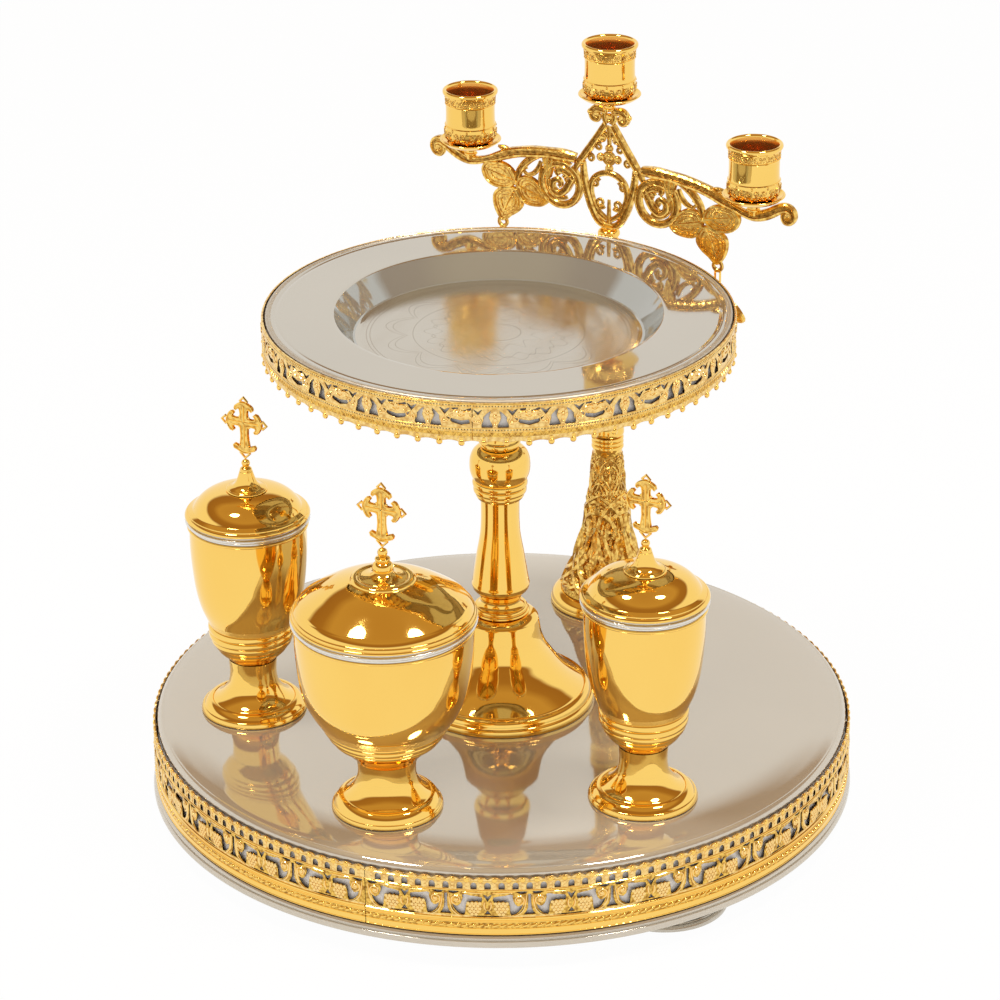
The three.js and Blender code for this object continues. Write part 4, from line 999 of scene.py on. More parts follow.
hem = [
    (min(x, SKIRT_LENGTH - SKIRT_GAP), HEM + HEM_WAVE * abs(cos(pi * x / DROP)))
    for x in np.linspace(SKIRT_GAP, SKIRT_LENGTH, DROPS * 8 + 1)
]
skirt_outlines = [hem + [(SKIRT_LENGTH - SKIRT_GAP, SKIRT_TOP), (SKIRT_GAP, SKIRT_TOP)]]
round_flower = (post_gap, mirrored(post_gap), notch, mirrored(notch))
round_leaf = (crescent, slit_one, slit_two)
for unit in range(SKIRT_UNITS):
    flower_at = unit * SKIRT_PITCH + DROP
    skirt_outlines += [at_place(row, flower_at) for row in round_flower]
    skirt_outlines += [at_place(row, flower_at + SKIRT_PITCH / 2) for row in round_leaf]
# Its cut sides and back are near-black, a painted shade.
skirt = sheet("skirt_strip", skirt_outlines, THICK, SOFT_EDGE, pierced_gold, painted_shade_gold)
grounded(skirt, ground_gold, 293, (275.6, 278))
scored(skirt, np.arange(SKIRT_SCORE, SKIRT_LENGTH, SKIRT_SCORE))
print("skirt strip:", round(SKIRT_LENGTH, 1), "mm,", len(skirt.data.polygons), "faces")

# %% Raise the relief of one skirt unit and hang the drops
FLOWER, PETAL, LIFT = 287.2, 2.1, 0.4
LEAF_AT = SKIRT_PITCH / 2
petals = [(x, y) for x, y, _ in circle(0, FLOWER, PETAL, 0, -pi / 2, 3 * pi / 2, 6)[:-1]]
flower = strewn("petals", petals, 1.15, 0.7, pale_gold, 1, 0.35)
hearts = [(0, FLOWER), (0, 282), (-8.6, 283.4), (8.6, 283.4)]
heart = strewn("flower_heart", hearts, 1.1, 0.8, pale_gold, 2, 0.45)
stems = paired([
    flow([(1, 281, 0.4), (0.5, 283.5, 0.55), (0.7, 285.2, 0.3)], 4),
    flow([(7.4, 281.5, 0.3), (7.2, 284.5, 0.6), (8.6, 287, 0.5), (7, 289.4, 0.3)], 4),
    spiral(10.4, 285.6, 2.2, 0.6, 200, 1.1, 0.5),
], LIFT)
for x0, y0, x1, y1, bend in ((-6, 288.6, 0, 287.4, 1.2), (0, 287.4, 6, 288.8, 1.2),
                             (-5, 286.4, 0, 286.2, 0.8), (0, 286.2, 5.4, 286.6, 0.8)):
    lobe = flow([(x0, y0, 0.25), ((x0 + x1) / 2, (y0 + y1) / 2 + bend, 0.85), (x1, y1, 0.3)])
    stems.append([(LEAF_AT + x, y, w, LIFT) for x, y, w in lobe])
skirt_lines = bars("skirt_lines", stems, pale_gold)
swells = at_place([(-3, 287.6), (3, 287.8), (0, 289)], LEAF_AT)
leaf_swell = strewn("leaf_swell", swells, 1.5, 0.5, pale_gold, 2, LIFT)
skirt_relief = joined("skirt_relief", flower, heart, skirt_lines, leaf_swell)
skirt_relief.data.transform(Matrix.Translation((DROP * MM, 0, 0)))
repeated(skirt_relief, SKIRT_UNITS, SKIRT_PITCH)

DOT_STEP, FRINGE_STEP = 1.6, DROP / 4
fringe = bars("fringe", [[(x, y, 0.3, LIFT) for x, y in (
    (0, 278.2), (FRINGE_STEP / 2, 275.9), (FRINGE_STEP, 278.2))]], gold)
repeated(fringe, DROPS * 4, FRINGE_STEP)
# The dots are near-black, a painted shade.
dots = strewn("dots", [(0.7, 292.8), (0.7, 279.4)], 0.38, 0.5, painted_shade_gold, 1, LIFT)
dot_count = int(SKIRT_LENGTH // DOT_STEP)
repeated(dots, dot_count, SKIRT_LENGTH / dot_count)
drop = joined(
    "drop",
    grain("drop_ball", 0, 271.7, 1.75, 0.75, gold, 2), grain("drop_root", 0, 274.2, 1.4, 0.6, gold, 2),
    grain("drop_left", -2.4, 274.9, 0.9, 0.7, gold), grain("drop_right", 2.4, 274.9, 0.9, 0.7, gold),
)
drop.data.transform(Matrix.Translation((DROP / 2 * MM, 0, 0)))
repeated(drop, DROPS, DROP)
rails = lines_along(
    "rails", 0, SKIRT_LENGTH, 120, 0.35, gold, (293.6, 0.4), (291.9, 0.3), (280.2, 0.3), (278.6, 0.3),
)
shadow = lines_along("shadow_line", 0, SKIRT_LENGTH, 120, 0.25, ground_gold, (294.1, 0.25))
skirt = joined("skirt_pierced", skirt, skirt_relief, fringe, dots, drop, rails, shadow)
rolled(skirt, SKIRT_R, SKIRT_START - 360 / DROPS)
lining = turned("skirt_lining", [
    [(126.6, 276), (126.9, 276), (126.9, 293), (126.6, 293), (126.6, 276)],
], sides=192, finish=satin_silver)
skirt = joined("skirt_pierced", skirt, lining)
stand_in(skirt, "plate_skirt")
print("skirt faces:", len(skirt.data.polygons))

# %% [markdown]
# ## The crosses
# Each lid ends in a small cast cross with hooked arms and an open diamond at every tip, standing
# on its lower diamond. It is a flat casting, so it is cut from one outline with a soft edge. The
# diamonds, a rim and a ridge on both faces are added as bars, and nubs sit between the arms.

# %% Cast one cross and copy it
CROSS_Z, CROSS_FACE, NUB = 233.6, 0.75, 2.7
ARMS = ((13.3, 0, 6, 2.2), (12.5, 90, 6, 2.2), (19.8, 180, 7.2, 2.9), (12.5, 270, 6, 2.2))


def cross_arm(reach, turn, hook, loop):
    """One arm along +y, then turned: its outline, and the open diamond at its tip."""
    half = [(2.2, 2.2), (1.9, reach * 0.4), (2.2, reach * 0.56), (3, reach - 4.9), (4.2, reach - 5.5),
            (hook - 1.1, reach - 6.2), (hook - 0.4, reach - 5.4), (hook - 0.8, reach - 4),
            (3.8, reach - 3), (2.4, reach - 2.3), (1.2, reach - 1.7)]
    tip = reach + 1.5
    diamond = [(0, tip - 2 * loop), (-loop, tip - loop), (0, tip), (loop, tip - loop)]
    rows = (mirrored(half) + half[::-1], diamond)
    c, s = cos(radians(turn)), sin(radians(turn))
    return [[(x * c + y * s, -x * s + y * c) for x, y in row] for row in rows]


arms, diamonds = zip(*(cross_arm(*arm) for arm in ARMS))
outline = [point for arm in arms for point in arm]
faces = (CROSS_FACE, -CROSS_FACE)
rims = [[(x, y, 0.5, lift) for x, y in outline] for lift in faces]
ridge_ends = (((0, -15), (0, 10)), ((-9, 0), (9, 0)))
spines = [[(*end, 0.6, lift) for end in ends] for ends in ridge_ends for lift in faces]
cross = joined(
    "bowl_cross_cast",
    sheet("cross_plate", [outline], 1.7, 0.45, branch_gold),
    bars("cross_rims", rims, gold, closed=True),
    bars("cross_ridge", spines, gold),
    bars("cross_loops", [[(x, y, 0.85) for x, y in row] for row in diamonds], gold, closed=True),
    strewn("nubs", [(x, y) for x in (-NUB, NUB) for y in (-NUB, NUB)], 1.1, 0.8, gold),
)
print("cross faces:", len(cross.data.polygons))
for name, place in vessel_places.items():
    piece = copied(cross, f"{name}_cross_cast", (0, CROSS_Z, 0))
    stand_in(stood_up(piece, place), f"{name}_cross")
bpy.data.objects.remove(cross)

# %% [markdown]
# ## The candle holder's stand
# A polished foot ring carries a tall trumpet that is covered with chased scrolls. Five tall ovals
# stand side by side round the cone, with ten pairs of small scrolls in the ground below them.
# Each row is sized to the cone where it sits, so that the pattern shrinks towards the top as it
# does on the real one. A post rises from it behind the plate.

# %% Turn the stand
STAND = middle_of("candelabrum_foot")
CHASED_TOP = 156.2
stand_foot = turned("stand_foot_turned", [
    [(0, 66.3), (27.8, 66.3)], flow([(28.2, 66.2), (30.2, 65.5), (32.2, 63.8), (33, 61.6)]), [(33, 61)],
    bead((33.1, 60.9), (33.4, 58.5), 0.3), [(33, 58.3), (29, 58.3), (27, 61), (0, 62)],
], STAND)
cone = [
    (27, 66.6), (26, 70.5), (24.6, 73.4), (22.5, 76.8), (20.6, 80.2), (18.9, 84), (17.5, 87.4),
    (15.6, 91.2), (14.1, 95.2), (12.8, 101.5), (11.7, 109), (10.8, 121), (9.8, 133), (9.3, 142),
    (8.9, 149), (8.6, 155),
]
trumpet = turned("trumpet_turned", [
    [(0, 165.6), (8.6, 165.6)], bead((8.8, 165.5), (9, 163), 0.6), bead((8.8, 162.8), (9, 160.3), 0.6),
    bead((8.8, 160.1), (9.1, 157.6), 0.6), [(8.9, 157), (8.8, 156)], flow(cone[::-1], 4),
    [(24, 66.6), (12, 90), (0, 92)],
], STAND)
trumpet.data.materials.append(ground_gold)
for face in trumpet.data.polygons:
    face.material_index = int(face.center.z / MM < CHASED_TOP)
post = turned("post_turned", [
    [(0, 282.4), (6.4, 282.4)], bead((6.5, 282.3), (6.2, 279.5), 0.7),
    flow([(5.6, 279.3), (5.3, 268), (5.6, 250), (6, 233)]), bead((6.1, 232.6), (6.3, 229), 1.4),
    bead((6.4, 228.8), (6.6, 222.5), 2.6), bead((6.5, 222.3), (6.6, 218.8), 1.4),
    flow([(6.3, 218.5), (6.7, 200), (7.1, 184), (7.9, 172.4)]), bead((8.2, 172.2), (9.2, 166.2), 1),
    [(0, 165.9)],
], STAND, sides=48)
socket = turned("branch_socket_turned", [
    [(0, 294.7), (3.6, 294.7)], bead((4, 294.6), (4.2, 289.3), 2.4),
    bead((4.4, 289.1), (4.6, 283.2), 2.1), [(4, 282.7), (0, 282.7)],
], STAND, sides=64)
for piece, node in ((stand_foot, "candelabrum_foot"), (post, "candelabrum_post"),
                    (socket, "branch_socket")):
    stand_in(piece, node)
print("stand at", [round(v, 2) for v in STAND])

# %% Draw the scrolls flat
def wrapped(row, start, turn, size, lift, surface, place):
    """Lay a flat stroke on a turned surface: its x goes round and its y goes up, both times size."""
    laid = []
    for x, y, w in row:
        r, z = surface(start + y * size)
        r += lift * size
        a = turn + x * size / r
        laid.append((place[0] + r * cos(a), place[1] + r * sin(a), w * size, z))
    return laid


def medallion_strokes():
    """An oval with a leaf and curls in it, and sprays at its sides, one unit wide and two high."""
    oval = [(0.36 * sin(a), 1 - 0.66 * cos(a), 0.07) for a in np.linspace(0, 2 * pi, 21)]
    curls = ((0.17, 0.76, 0.1, -90, 1.1), (0.16, 1.24, 0.09, 90, -1.1),
             (0.38, 0.28, 0.14, 200, 1.3), (0.38, 1.74, 0.13, 160, -1.3))
    sprays = [spiral(x, y, r, 0.03, start, turns, 0.055, 8) for x, y, r, start, turns in curls] + [
        flow([(0, 0.02, 0.03), (0.28, 0.26, 0.06), (0.5, 1, 0.07), (0.28, 1.74, 0.06),
              (0, 1.98, 0.03)], 4),
        flow([(0.3, 1, 0.03), (0.38, 1.2, 0.05), (0.36, 1.45, 0.02)], 3),
        flow([(0.3, 1, 0.03), (0.4, 0.84, 0.05), (0.37, 0.6, 0.02)], 3),
    ]
    return [oval, flow([(0, 0.5, 0.02), (0, 0.85, 0.12), (0, 1.4, 0.02)], 3), *paired(sprays)]


def scroll_strokes():
    """A pair of curls over a leaf, drawn in a box one unit high and one unit wide."""
    stem = [(0.02, 0.02, 0.03), (0.17, 0.16, 0.055), (0.42, 0.3, 0.05), (0.46, 0.6, 0.04),
            (0.4, 0.8, 0.02)]
    curls = paired([
        spiral(0.24, 0.62, 0.2, 0.05, -100, 1.3, 0.055, 11), flow(stem, 3),
        spiral(0.33, 0.2, 0.11, 0.03, 60, -1.1, 0.045, 7),
    ])
    leaf = flow([(0, 0.08, 0.02), (0, 0.24, 0.085), (0, 0.42, 0.02)], 3)
    tip = flow([(0, 0.78, 0.02), (0, 0.9, 0.07), (0, 1.0, 0.02)], 3)
    return [*curls, leaf, tip]


# %% Chase them round the trumpet
cone_line = np.array(cone, float)
slope_way = np.concatenate([[0], np.cumsum(np.hypot(*np.diff(cone_line, axis=0).T))])


def on_cone(way):
    """Radius and height of the cone at a way up its slope."""
    return tuple(float(np.interp(way, slope_way, column)) for column in cone_line.T)


OVALS = (5, 2, medallion_strokes(), 0.02, 0.9)
SCROLLS = (10, 1, scroll_strokes(), -0.03, 0)
FIRST_WAY, LAST_WAY = 0.4, slope_way[-1] - 0.3
scrolls = []
for around, units_high, strokes, lift, shift in (OVALS, SCROLLS):
    way, rows_made = FIRST_WAY, 0
    while way < LAST_WAY - 2:
        size = min(2 * pi * on_cone(way + 2)[0] / around, (LAST_WAY - way) / units_high)
        for k in range(around):
            turn = 2 * pi * (k + 0.5 * (rows_made % 2)) / around + shift
            scrolls += [wrapped(row, way, turn, size, lift, on_cone, STAND) for row in strokes]
        way, rows_made = way + size, rows_made + 1
    print(around, "round the cone in", rows_made, "rows")
scroll_work = bars("trumpet_scrolls", scrolls, branch_gold)
trumpet = smooth(joined("trumpet_chased", trumpet, scroll_work), 40)
stand_in(trumpet, "candelabrum_trumpet")
print("trumpet faces:", len(trumpet.data.polygons))

# %% [markdown]
# ## The branches
# The branched casting is flat filigree: two arms that end in volutes, ring scrolls, a lattice
# triangle under the middle light, and three broad leaves and a small slim one on each side. It is
# drawn once for the right side in the plane of the casting, mirrored, and stood up over the stand
# with its small turn. Bars have a groove along both faces, with painted shade on its floor.

# %% The grooved section
groove_side = [(-1, 0), (-0.98, 0.48), (-0.72, 0.76), (-0.42, 0.66), (-0.28, 0.36),
               (0.28, 0.36), (0.42, 0.66), (0.72, 0.76), (0.98, 0.48)]
groove_section = new_curve("groove_section", "2D", [groove_side + [(-x, -y) for x, y in groove_side]])
floor_corners = [(-0.22, 0.42), (0.22, 0.42), (0.22, -0.42), (-0.22, -0.42)]
groove_floor = new_curve("groove_floor", "2D", [floor_corners])
groove_section.data.fill_mode = groove_floor.data.fill_mode = "NONE"
print("section points:", 2 * len(groove_side))

# %% Draw the right half of the casting
RING = (32, 316)
arm_top = flow([(22, 333.5, 2.2), (30, 333.8, 2.7), (40, 333.4, 2.5), (50, 332.2, 2.7),
                (60, 330.4, 2.5), (68, 328, 2.6), (75, 324.9, 2.3), (82, 322.3, 1.7),
                (88, 320.4, 1.9), (94, 319.8, 2.2), (100, 321.6, 2.6), (105, 324, 2.6),
                (110, 327, 2.5), (114.6, 328.2, 2.2), (117.7, 326.7, 2), (118.7, 323.6, 1.8),
                (117, 320.7, 1.7), (113.9, 320.3, 1.6), (112.4, 322.6, 1.4), (113.6, 325, 1.3),
                (115.8, 324.2, 1.2)], 5)
right_bars = [
    arm_top,
    flow([(66, 330.2, 0.9), (70, 330.8, 1.4), (74.4, 331.6, 0.5)], 4),
    flow([(2.4, 357, 1.7), (10, 345.5, 1.8), (17.5, 334.6, 1.8), (20.6, 330.2, 1.6),
          (22.4, 327, 1.2)], 5),
    circle(*RING, 12.5, 1.9, radians(118), radians(-238), 43),
    flow([(22.5, 323, 1.4), (25.6, 318, 1.8), (29, 312.6, 1.9), (33.6, 309.8, 1.8), (37.4, 312.4, 1.7),
          (37, 316.8, 1.5), (33.6, 318.2, 1.4), (31.8, 315.8, 1.2), (33.4, 314.2, 1)], 5),
    flow([(21.6, 318, 1), (25.4, 322.6, 1.8), (30.4, 325, 2.1), (34.6, 323.4, 1.5),
          (33.4, 320.8, 1)], 5),
    spiral(27.6, 319.6, 2.6, 0.8, 10, 1.3, 1.0),
    circle(*RING, 8.6, 0.9, radians(40), radians(-120), 21),
    flow([(44, 331.6, 1.2), (50, 329, 1.7), (55.5, 324.6, 1.8), (59.6, 319, 1.7),
          (61.6, 313.6, 1.4)], 5),
    flow([(45.5, 327, 1), (47.5, 322, 1.3), (51, 318.6, 1.2), (55, 317.6, 0.9), (57, 320, 0.7),
          (54.6, 321.6, 0.6)], 5),
    flow([(17, 332.5, 1.2), (16.6, 324, 1.7), (14.2, 314, 1.8), (10.4, 304, 1.8), (5.6, 297.4, 1.7),
          (0, 295.8, 1.5)], 5),
    flow([(1.4, 300, 1.2), (6.6, 303.6, 1.3), (10.4, 309.6, 1.4), (12, 316.5, 1.4), (10, 323.4, 1.4),
          (5, 327.2, 1.4), (0, 328.2, 1.3)], 5),
    spiral(8.8, 320.8, 2.9, 0.7, 150, -1.2, 0.95),
    spiral(5.4, 309.4, 3.2, 0.8, 220, 1.2, 0.95),
    flow([(0, 349, 0.9), (4.4, 352, 1.1), (7.4, 349.5, 0.9)], 4),
    spiral(6.6, 343.2, 2.6, 0.6, 120, -1.2, 0.85),
    spiral(12.2, 335.4, 2.4, 0.6, 60, 1.2, 0.8),
    flow([(2, 365, 1.5), (5, 366, 1.8), (9, 365.6, 1.9), (11.2, 363, 1.8), (10.4, 360, 1.6),
          (7.6, 359.6, 1.4), (6.8, 361.8, 1.2), (8.4, 362.8, 1)], 5),
    flow([(1.6, 357.6, 1.4), (3.2, 360.6, 1.2), (2.6, 366.4, 1.4)], 4),
    flow([(72.2, 288.4, 0.9), (69.7, 287.6, 0.9), (68.6, 285.4, 0.8), (69.8, 283.4, 0.9),
          (71.8, 282.8, 0.9), (73.4, 283.8, 0.9), (74, 285.8, 0.8), (72.6, 288.2, 0.9)], 4),
]
leaf_outlines = {
    "right": ([(62.4, 312), (63.6, 316.4), (67, 319.8), (72, 321.4), (77, 320.8), (81.6, 320.2),
               (84.4, 316.6), (83, 311.4), (79, 308), (73, 307), (67, 308)],
              [(62.6, 312), (70, 313.6), (83, 316.6)]),
    "left": ([(61, 311.6), (59, 314.4), (54, 315.8), (48.6, 314), (44.4, 309.8), (40.2, 305.4),
              (43.4, 301.4), (49.6, 299.8), (56, 300.6), (60, 305.4)],
             [(61.4, 310), (53, 307.6), (42, 305)]),
    "low": ([(61.4, 307), (59, 303), (58.4, 298.4), (61.2, 294.2), (66, 290.8), (71.2, 287.2),
             (74.2, 290.6), (76.6, 296.6), (76.4, 302), (72, 306), (66, 307.4)],
            [(63.4, 307), (67.6, 299), (71.4, 289)]),
    "tear": ([(37.2, 331), (40, 332.4), (43, 330.6), (42.2, 325.6), (40, 318.4), (38, 325)],
             [(40, 331), (40.2, 325), (40, 319.5)]),
}
print("bars on the right side:", len(right_bars), "leaves:", len(leaf_outlines))

# %% Cast a leaf
BRANCH_TURN, BAR_GROWTH = -5.6, 1.25
LEAF_FACE, VEIN_WIDTHS = 0.8, (1.2, 1, 0.5)
LEAF_RIMS = ((1, 1.05, 1), (0.76, 0.45, 1.25), (0.5, 0.75, 1.1))


def leaf_work(name, outline, vein, side=1, shift=0.0):
    """A leaf: a cast plate, raised rims one within the other, and a ridge down the middle."""
    eased = np.array(flow([(side * x + shift, y) for x, y in outline + outline[:1]], 4)[:-1])
    middle = eased.mean(axis=0)
    spine = flow([(side * x + shift, y, w) for (x, y), w in zip(vein, VEIN_WIDTHS)], 4)
    rims, ridges = [], []
    for face in (LEAF_FACE, -LEAF_FACE):
        for scale, width, lift in LEAF_RIMS:
            rims.append([(x, y, width, face * lift) for x, y in middle + (eased - middle) * scale])
        ridges.append([(x, y, w, face * 1.2) for x, y, w in spine])
    return [
        sheet(f"{name}_plate", [eased.tolist()], 2, 0.5, cast_gold),
        bars(f"{name}_rims", rims, branch_gold, closed=True),
        bars(f"{name}_ridges", ridges, branch_gold),
    ]


# %% Mirror the half and stand it up
casting_parts = []
for side in (1, -1):
    rows = [[(side * x, y, BAR_GROWTH * w) for x, y, w in row] for row in right_bars]
    casting_parts.append(bars("branch_bars", rows, branch_gold, section=groove_section))
    # The groove floors are darker gold: painted shade.
    casting_parts.append(bars("branch_grooves", rows, groove_shade_gold, section=groove_floor))
    for name, (outline, vein) in leaf_outlines.items():
        casting_parts += leaf_work(name, outline, vein, side)
    hubs = [(side * 61.6, 311), (side * 12.6, 363.2), (side * 17.8, 331.6)]
    casting_parts.append(strewn("hub", hubs, 1.9, 1.0, gold, 2))
middle_rows = [
    circle(0, 337, 3.2, 1.2),
    [(0, 341, 1), (0, 348, 1.3), (0, 356.6, 1.5)], [(0, 296, 1.6), (0, 304, 1.2), (0, 312, 0.9)],
    [(-3.4, 337, 1), (-7.6, 337, 1.1)], [(3.4, 337, 1), (7.6, 337, 1.1)],
    [(0, 333.4, 1), (0, 328, 1.2)],
]
casting_parts.append(bars("middle_bars", middle_rows, branch_gold, section=groove_section))
side_lobes = [(5.6, 337), (4.6, 348.6), (115.4, 323.8), (8.6, 362.2)]
lobes = [(0, 343), (0, 331), (0, 337), (0, 361.6), *side_lobes, *mirrored(side_lobes)]
casting_parts.append(strewn("lobes", lobes, 2.7, 0.7, cast_gold, 2))
socket_seat = [(-3.8, 295.2), (3.8, 295.2), (3, 298), (-3, 298)]
casting_parts.append(sheet("socket_plate", [socket_seat], 3, 0.4, gold))
casting = joined("casting_flat", *casting_parts)
stood_up(casting, STAND, BRANCH_TURN)
print("casting faces:", len(casting.data.polygons))

# %% Necks under the pans
turn_c, turn_s = cos(radians(BRANCH_TURN)), sin(radians(BRANCH_TURN))
seats = {"middle": (0, 372.3, -6.6), "right": (93.3, 329.02, -8.6), "left": (-93.3, 329.02, -8.6)}
seat_places = {
    name: (STAND[0] + out * turn_c, STAND[1] + out * turn_s) for name, (out, *_) in seats.items()
}
necks = [
    turned(f"neck_{name}", at_height(
        seat, [(0, -0.3), (4.4, -0.3)], bead((4.4, -0.4), (4.2, -1.9), 0.5),
        flow([(3.8, -2), (3, -3.2), (3.1, -4.4)]), bead((3.3, -4.5), (3.3, -6), 0.7),
        [(2.6, root), (0, root)],
    ), seat_places[name], sides=32)
    for name, (_, seat, root) in seats.items()
]
casting = smooth(joined("branch_casting_drawn", casting, *necks), 40)
stand_in(casting, "branch_casting")
bpy.data.objects.remove(groove_section)
bpy.data.objects.remove(groove_floor)
print("necks:", len(necks))

# %% Drip pans and candle cups
PAN = [
    [(0, 1.4), (8, 1.4)], flow([(10, 1.5), (13.4, 2.1), (16.4, 3.5)]),
    bead((16.6, 3.7), (17.9, 3.5), 0.55),
    flow([(17.6, 3.2), (14.6, 1), (10, 0.3), (4.4, 0)]), [(0, 0)],
]
CUP_SIDE = [(14.8, 29.4), (14.5, 27), (14.3, 22), (14.3, 16), (14.5, 12), (15, 9.4), (15, 6.8),
            (14.4, 4), (12.8, 1.8), (10.4, 0.5), (8, 0)]
CUP = [
    [(0, 1.6), (3.5, 1.6), (3.5, 4), (12.1, 4)],
    flow([(12.5, 5), (12.9, 12), (12.9, 24), (13, 29.6), (13.4, 31)]),
    flow([(13.5, 31.3), (14.1, 32.3), (15, 32.6), (15.9, 32), (16.1, 31), (15.7, 30), (14.9, 29.6)]),
    flow(CUP_SIDE), [(1.9, 0), (0, 0.4)],
]
side_radii, side_heights = zip(*CUP_SIDE[-2::-1])
PAN_DEPTH, CUP_INSIDE_R = 1.5, 13.45
CHASED_BANDS, CUP_RINGS = ((1.9, 9, 10), (24.6, 4.9, 18)), (11.4, 24.2)
CUP_SCROLLS = scroll_strokes()


def turn_cup(name, foot, place):
    """A candle cup: polished in the middle, with a chased band above and below."""
    def surface(height):
        return float(np.interp(height - foot, side_heights, side_radii)), height

    cup = lined(turned(name, at_height(foot, *CUP), place), place, cup_inside, CUP_INSIDE_R)
    strokes, rings = [], []
    for low, size, around in CHASED_BANDS:
        for turn in np.arange(around) * 2 * pi / around:
            laid = (foot + low, turn, size, 0.01, surface, place)
            strokes += [wrapped(row, *laid) for row in CUP_SCROLLS]
    for low in CUP_RINGS:
        radius, height = surface(foot + low)
        rings.append([(*point, height) for point in circle(*place, radius + 0.1, 0.35, steps=48)[:-1]])
    scrolls = bars("cup_scrolls", strokes, cast_gold)
    return smooth(joined(name, cup, scrolls, bars("cup_rings", rings, gold, closed=True)), 40)


for name, (_, seat, _) in seats.items():
    pan = turned(f"drip_pan_{name}_turned", at_height(seat, *PAN), seat_places[name])
    stand_in(pan, f"drip_pan_{name}")
    cup = turn_cup(f"candle_cup_{name}_chased", seat + PAN_DEPTH, seat_places[name])
    stand_in(cup, f"candle_cup_{name}")
print("candle cups at", {name: [round(v, 1) for v in place] for name, place in seat_places.items()})

# %% [markdown]
# ## The pendants
# From each low leaf hangs a two-wire link, and from that a leafy drop of three pointed leaves.
# They are small and they swing, so each is its own piece on its own body.

# %% Bend the links and cast the drops
PENDANT_AT, WIRE, WIRE_AT = 71.37, 0.7, 1.6
LINK_TOP, LINK_FOOT, LOOP_AT, KNOT_AT = 282.5, 271.9, 269.4, 266.2
link_end = [(-WIRE_AT, 0), (-1, 0.5), (0, 0.75), (1, 0.5), (WIRE_AT, 0)]
link_rows = [[(x, y, WIRE) for y in np.linspace(LINK_TOP, LINK_FOOT, 6)] for x in (-WIRE_AT, WIRE_AT)]
for start, way in ((LINK_TOP, 1), (LINK_FOOT, -1)):
    link_rows.append(flow([(x, start + way * y, WIRE) for x, y in link_end], 3))
mid_side = [(0, 266), (3.4, 261.6), (5.2, 255.6), (4.2, 249), (2.2, 243.4), (0, 239.4)]
side_leaf = [(0.8, 264.5), (5, 265.4), (10.4, 264), (14.4, 260.4), (17, 255.4), (12.6, 255), (7.6, 256),
             (3.4, 259)]
side_vein = [(1, 263.6), (8, 261), (16, 256)]
mid_leaf = mid_side + mirrored(mid_side[-2:0:-1])


def pendant(side, name):
    """A link and a drop of three leaves on one side, each its own piece."""
    x0 = side * PENDANT_AT
    link = bars(f"link_{name}", [[(x0 + x, y, w) for x, y, w in row] for row in link_rows], gold)
    link.name = f"pendant_link_{name}_bent"
    stand_in(stood_up(link, STAND, BRANCH_TURN), f"pendant_link_{name}")
    drop = joined(
        f"pendant_drop_{name}_cast",
        *leaf_work("drop_mid", mid_leaf, [(0, 266), (0, 254), (0, 241)], shift=x0),
        *leaf_work("drop_out", side_leaf, side_vein, shift=x0),
        *leaf_work("drop_in", side_leaf, side_vein, -1, x0),
        bars("drop_loop", [circle(x0, LOOP_AT, 2.5, 0.5)[:-1]], gold, closed=True),
        strewn("drop_knot", [(x0, KNOT_AT)], 1.6, 0.8, gold, 2),
    )
    stand_in(stood_up(drop, STAND, BRANCH_TURN), f"pendant_drop_{name}")
    print(name, "pendant hangs at", round(x0, 1), "mm along the branches")


pendant(1, "right")
pendant(-1, "left")

# %% [markdown]
# ## The studio
# The set stands on a white table against white. Polished metal shows its room, so the room is
# part of the finish: bright all round at eye level, dark overhead, with two small lamps above
# the front that leave a pair of bright spots on every lid and foot. The table looks white to the
# camera and to the metal through the light path, and still takes a soft shadow.

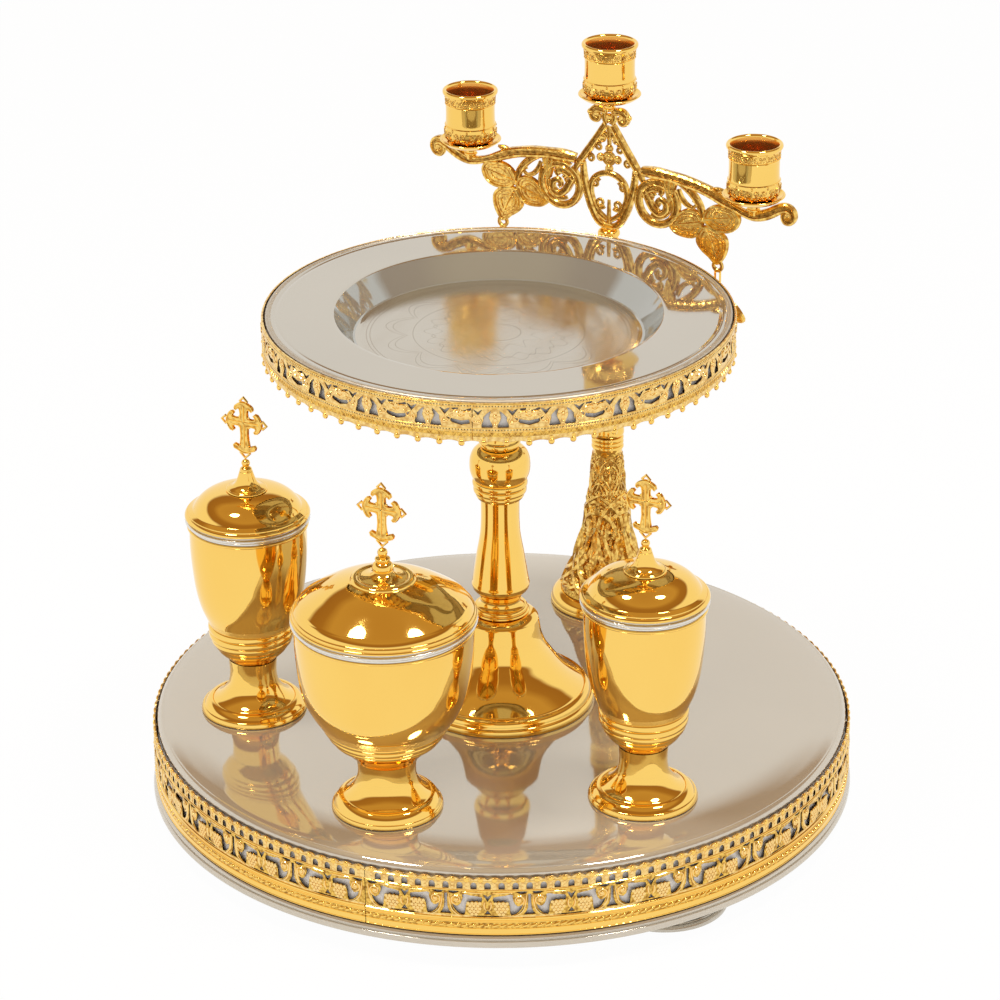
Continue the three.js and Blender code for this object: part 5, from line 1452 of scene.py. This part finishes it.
# %% The white table
TABLE_WHITE, TABLE_SHOWN = 0.97, 0.97
let_go()
bpy.ops.mesh.primitive_circle_add(vertices=64, radius=3.2, fill_type="NGON", location=(0, 0, -0.0005))
table = settle(bpy.context.object, "white_table")
table_material, table_net, table_shader = metal("white_table", [TABLE_WHITE] * 3, 0.6, 0.0)
rays = table_net.node("LightPath").socket.node.outputs
seen, glint, through = (
    Wire(table_net.tree, rays[ray]) for ray in ("Is Camera Ray", "Is Glossy Ray", "Is Transmission Ray")
)
white = table_net.node("Emission", sockets={"Color": (1, 1, 1, 1), "Strength": 1.0})
plain = Wire(table_net.tree, table_shader.outputs[0])
share = (seen + glint + through) * TABLE_SHOWN
mixed = table_net.node("MixShader", sockets={0: share, 1: plain, 2: white})
table_net.feed(table_net.tree.nodes["Material Output"], {"Surface": mixed})
table.data.materials.append(table_material)
print("table:", table.name)

# %% The room
WHITE = (1, 1, 1)
OVERHEAD = ((0.0, WHITE), (0.49, WHITE), (0.55, (0.34, 0.18, 0.06)), (0.7, (0.38, 0.21, 0.07)),
            (0.8, (0.56, 0.37, 0.15)), (1.0, (0.52, 0.33, 0.13)))
world = bpy.context.scene.world or bpy.data.worlds.new("studio")
bpy.context.scene.world = world
world.use_nodes = True
sky = Net(world.node_tree)
up = sky.node("SeparateXYZ", sockets={0: sky.node("TexCoord", out=0)}, out=2)
room = sky.node("ValToRGB", {"stops": [(height, (*colour, 1)) for height, colour in OVERHEAD]}, {0: up})
backdrop = two_tones(sky, sky.node("LightPath", out=0), room, WHITE)
sky.feed(world.node_tree.nodes["Background"], {"Color": backdrop, "Strength": 1.0})
print("room tones:", len(OVERHEAD))

# %% The lamps
TOWARDS, ACROSS, AIM = Vector((0.44, -0.898, 0)), Vector((0.898, 0.44, 0)), Vector((0, 0, 0.15))
APART, FORWARD, HIGH, LAMP_SIZE, LAMP_POWER = 0.6, 0.22, 1.7, 0.34, 10
for name, side in (("left_lamp", -1), ("right_lamp", 1)):
    data = bpy.data.lights.new(name, "AREA")
    data.shape, data.size, data.energy = "DISK", LAMP_SIZE, LAMP_POWER
    lamp = bpy.data.objects.new(name, data)
    bpy.context.scene.collection.objects.link(lamp)
    lamp.location = ACROSS * (APART * side) + TOWARDS * FORWARD + Vector((0, 0, HIGH))
    lamp.rotation_euler = (AIM - lamp.location).to_track_quat("-Z", "Y").to_euler()
    print(name, "at", [round(value, 2) for value in lamp.location])

# %% [markdown]
# ## Settings
# The colours are shown as written, and both boxes are kept: the CAD model's and the dressed one's.

# %% Finish
bpy.context.scene.view_settings.view_transform = "Standard"
let_go()
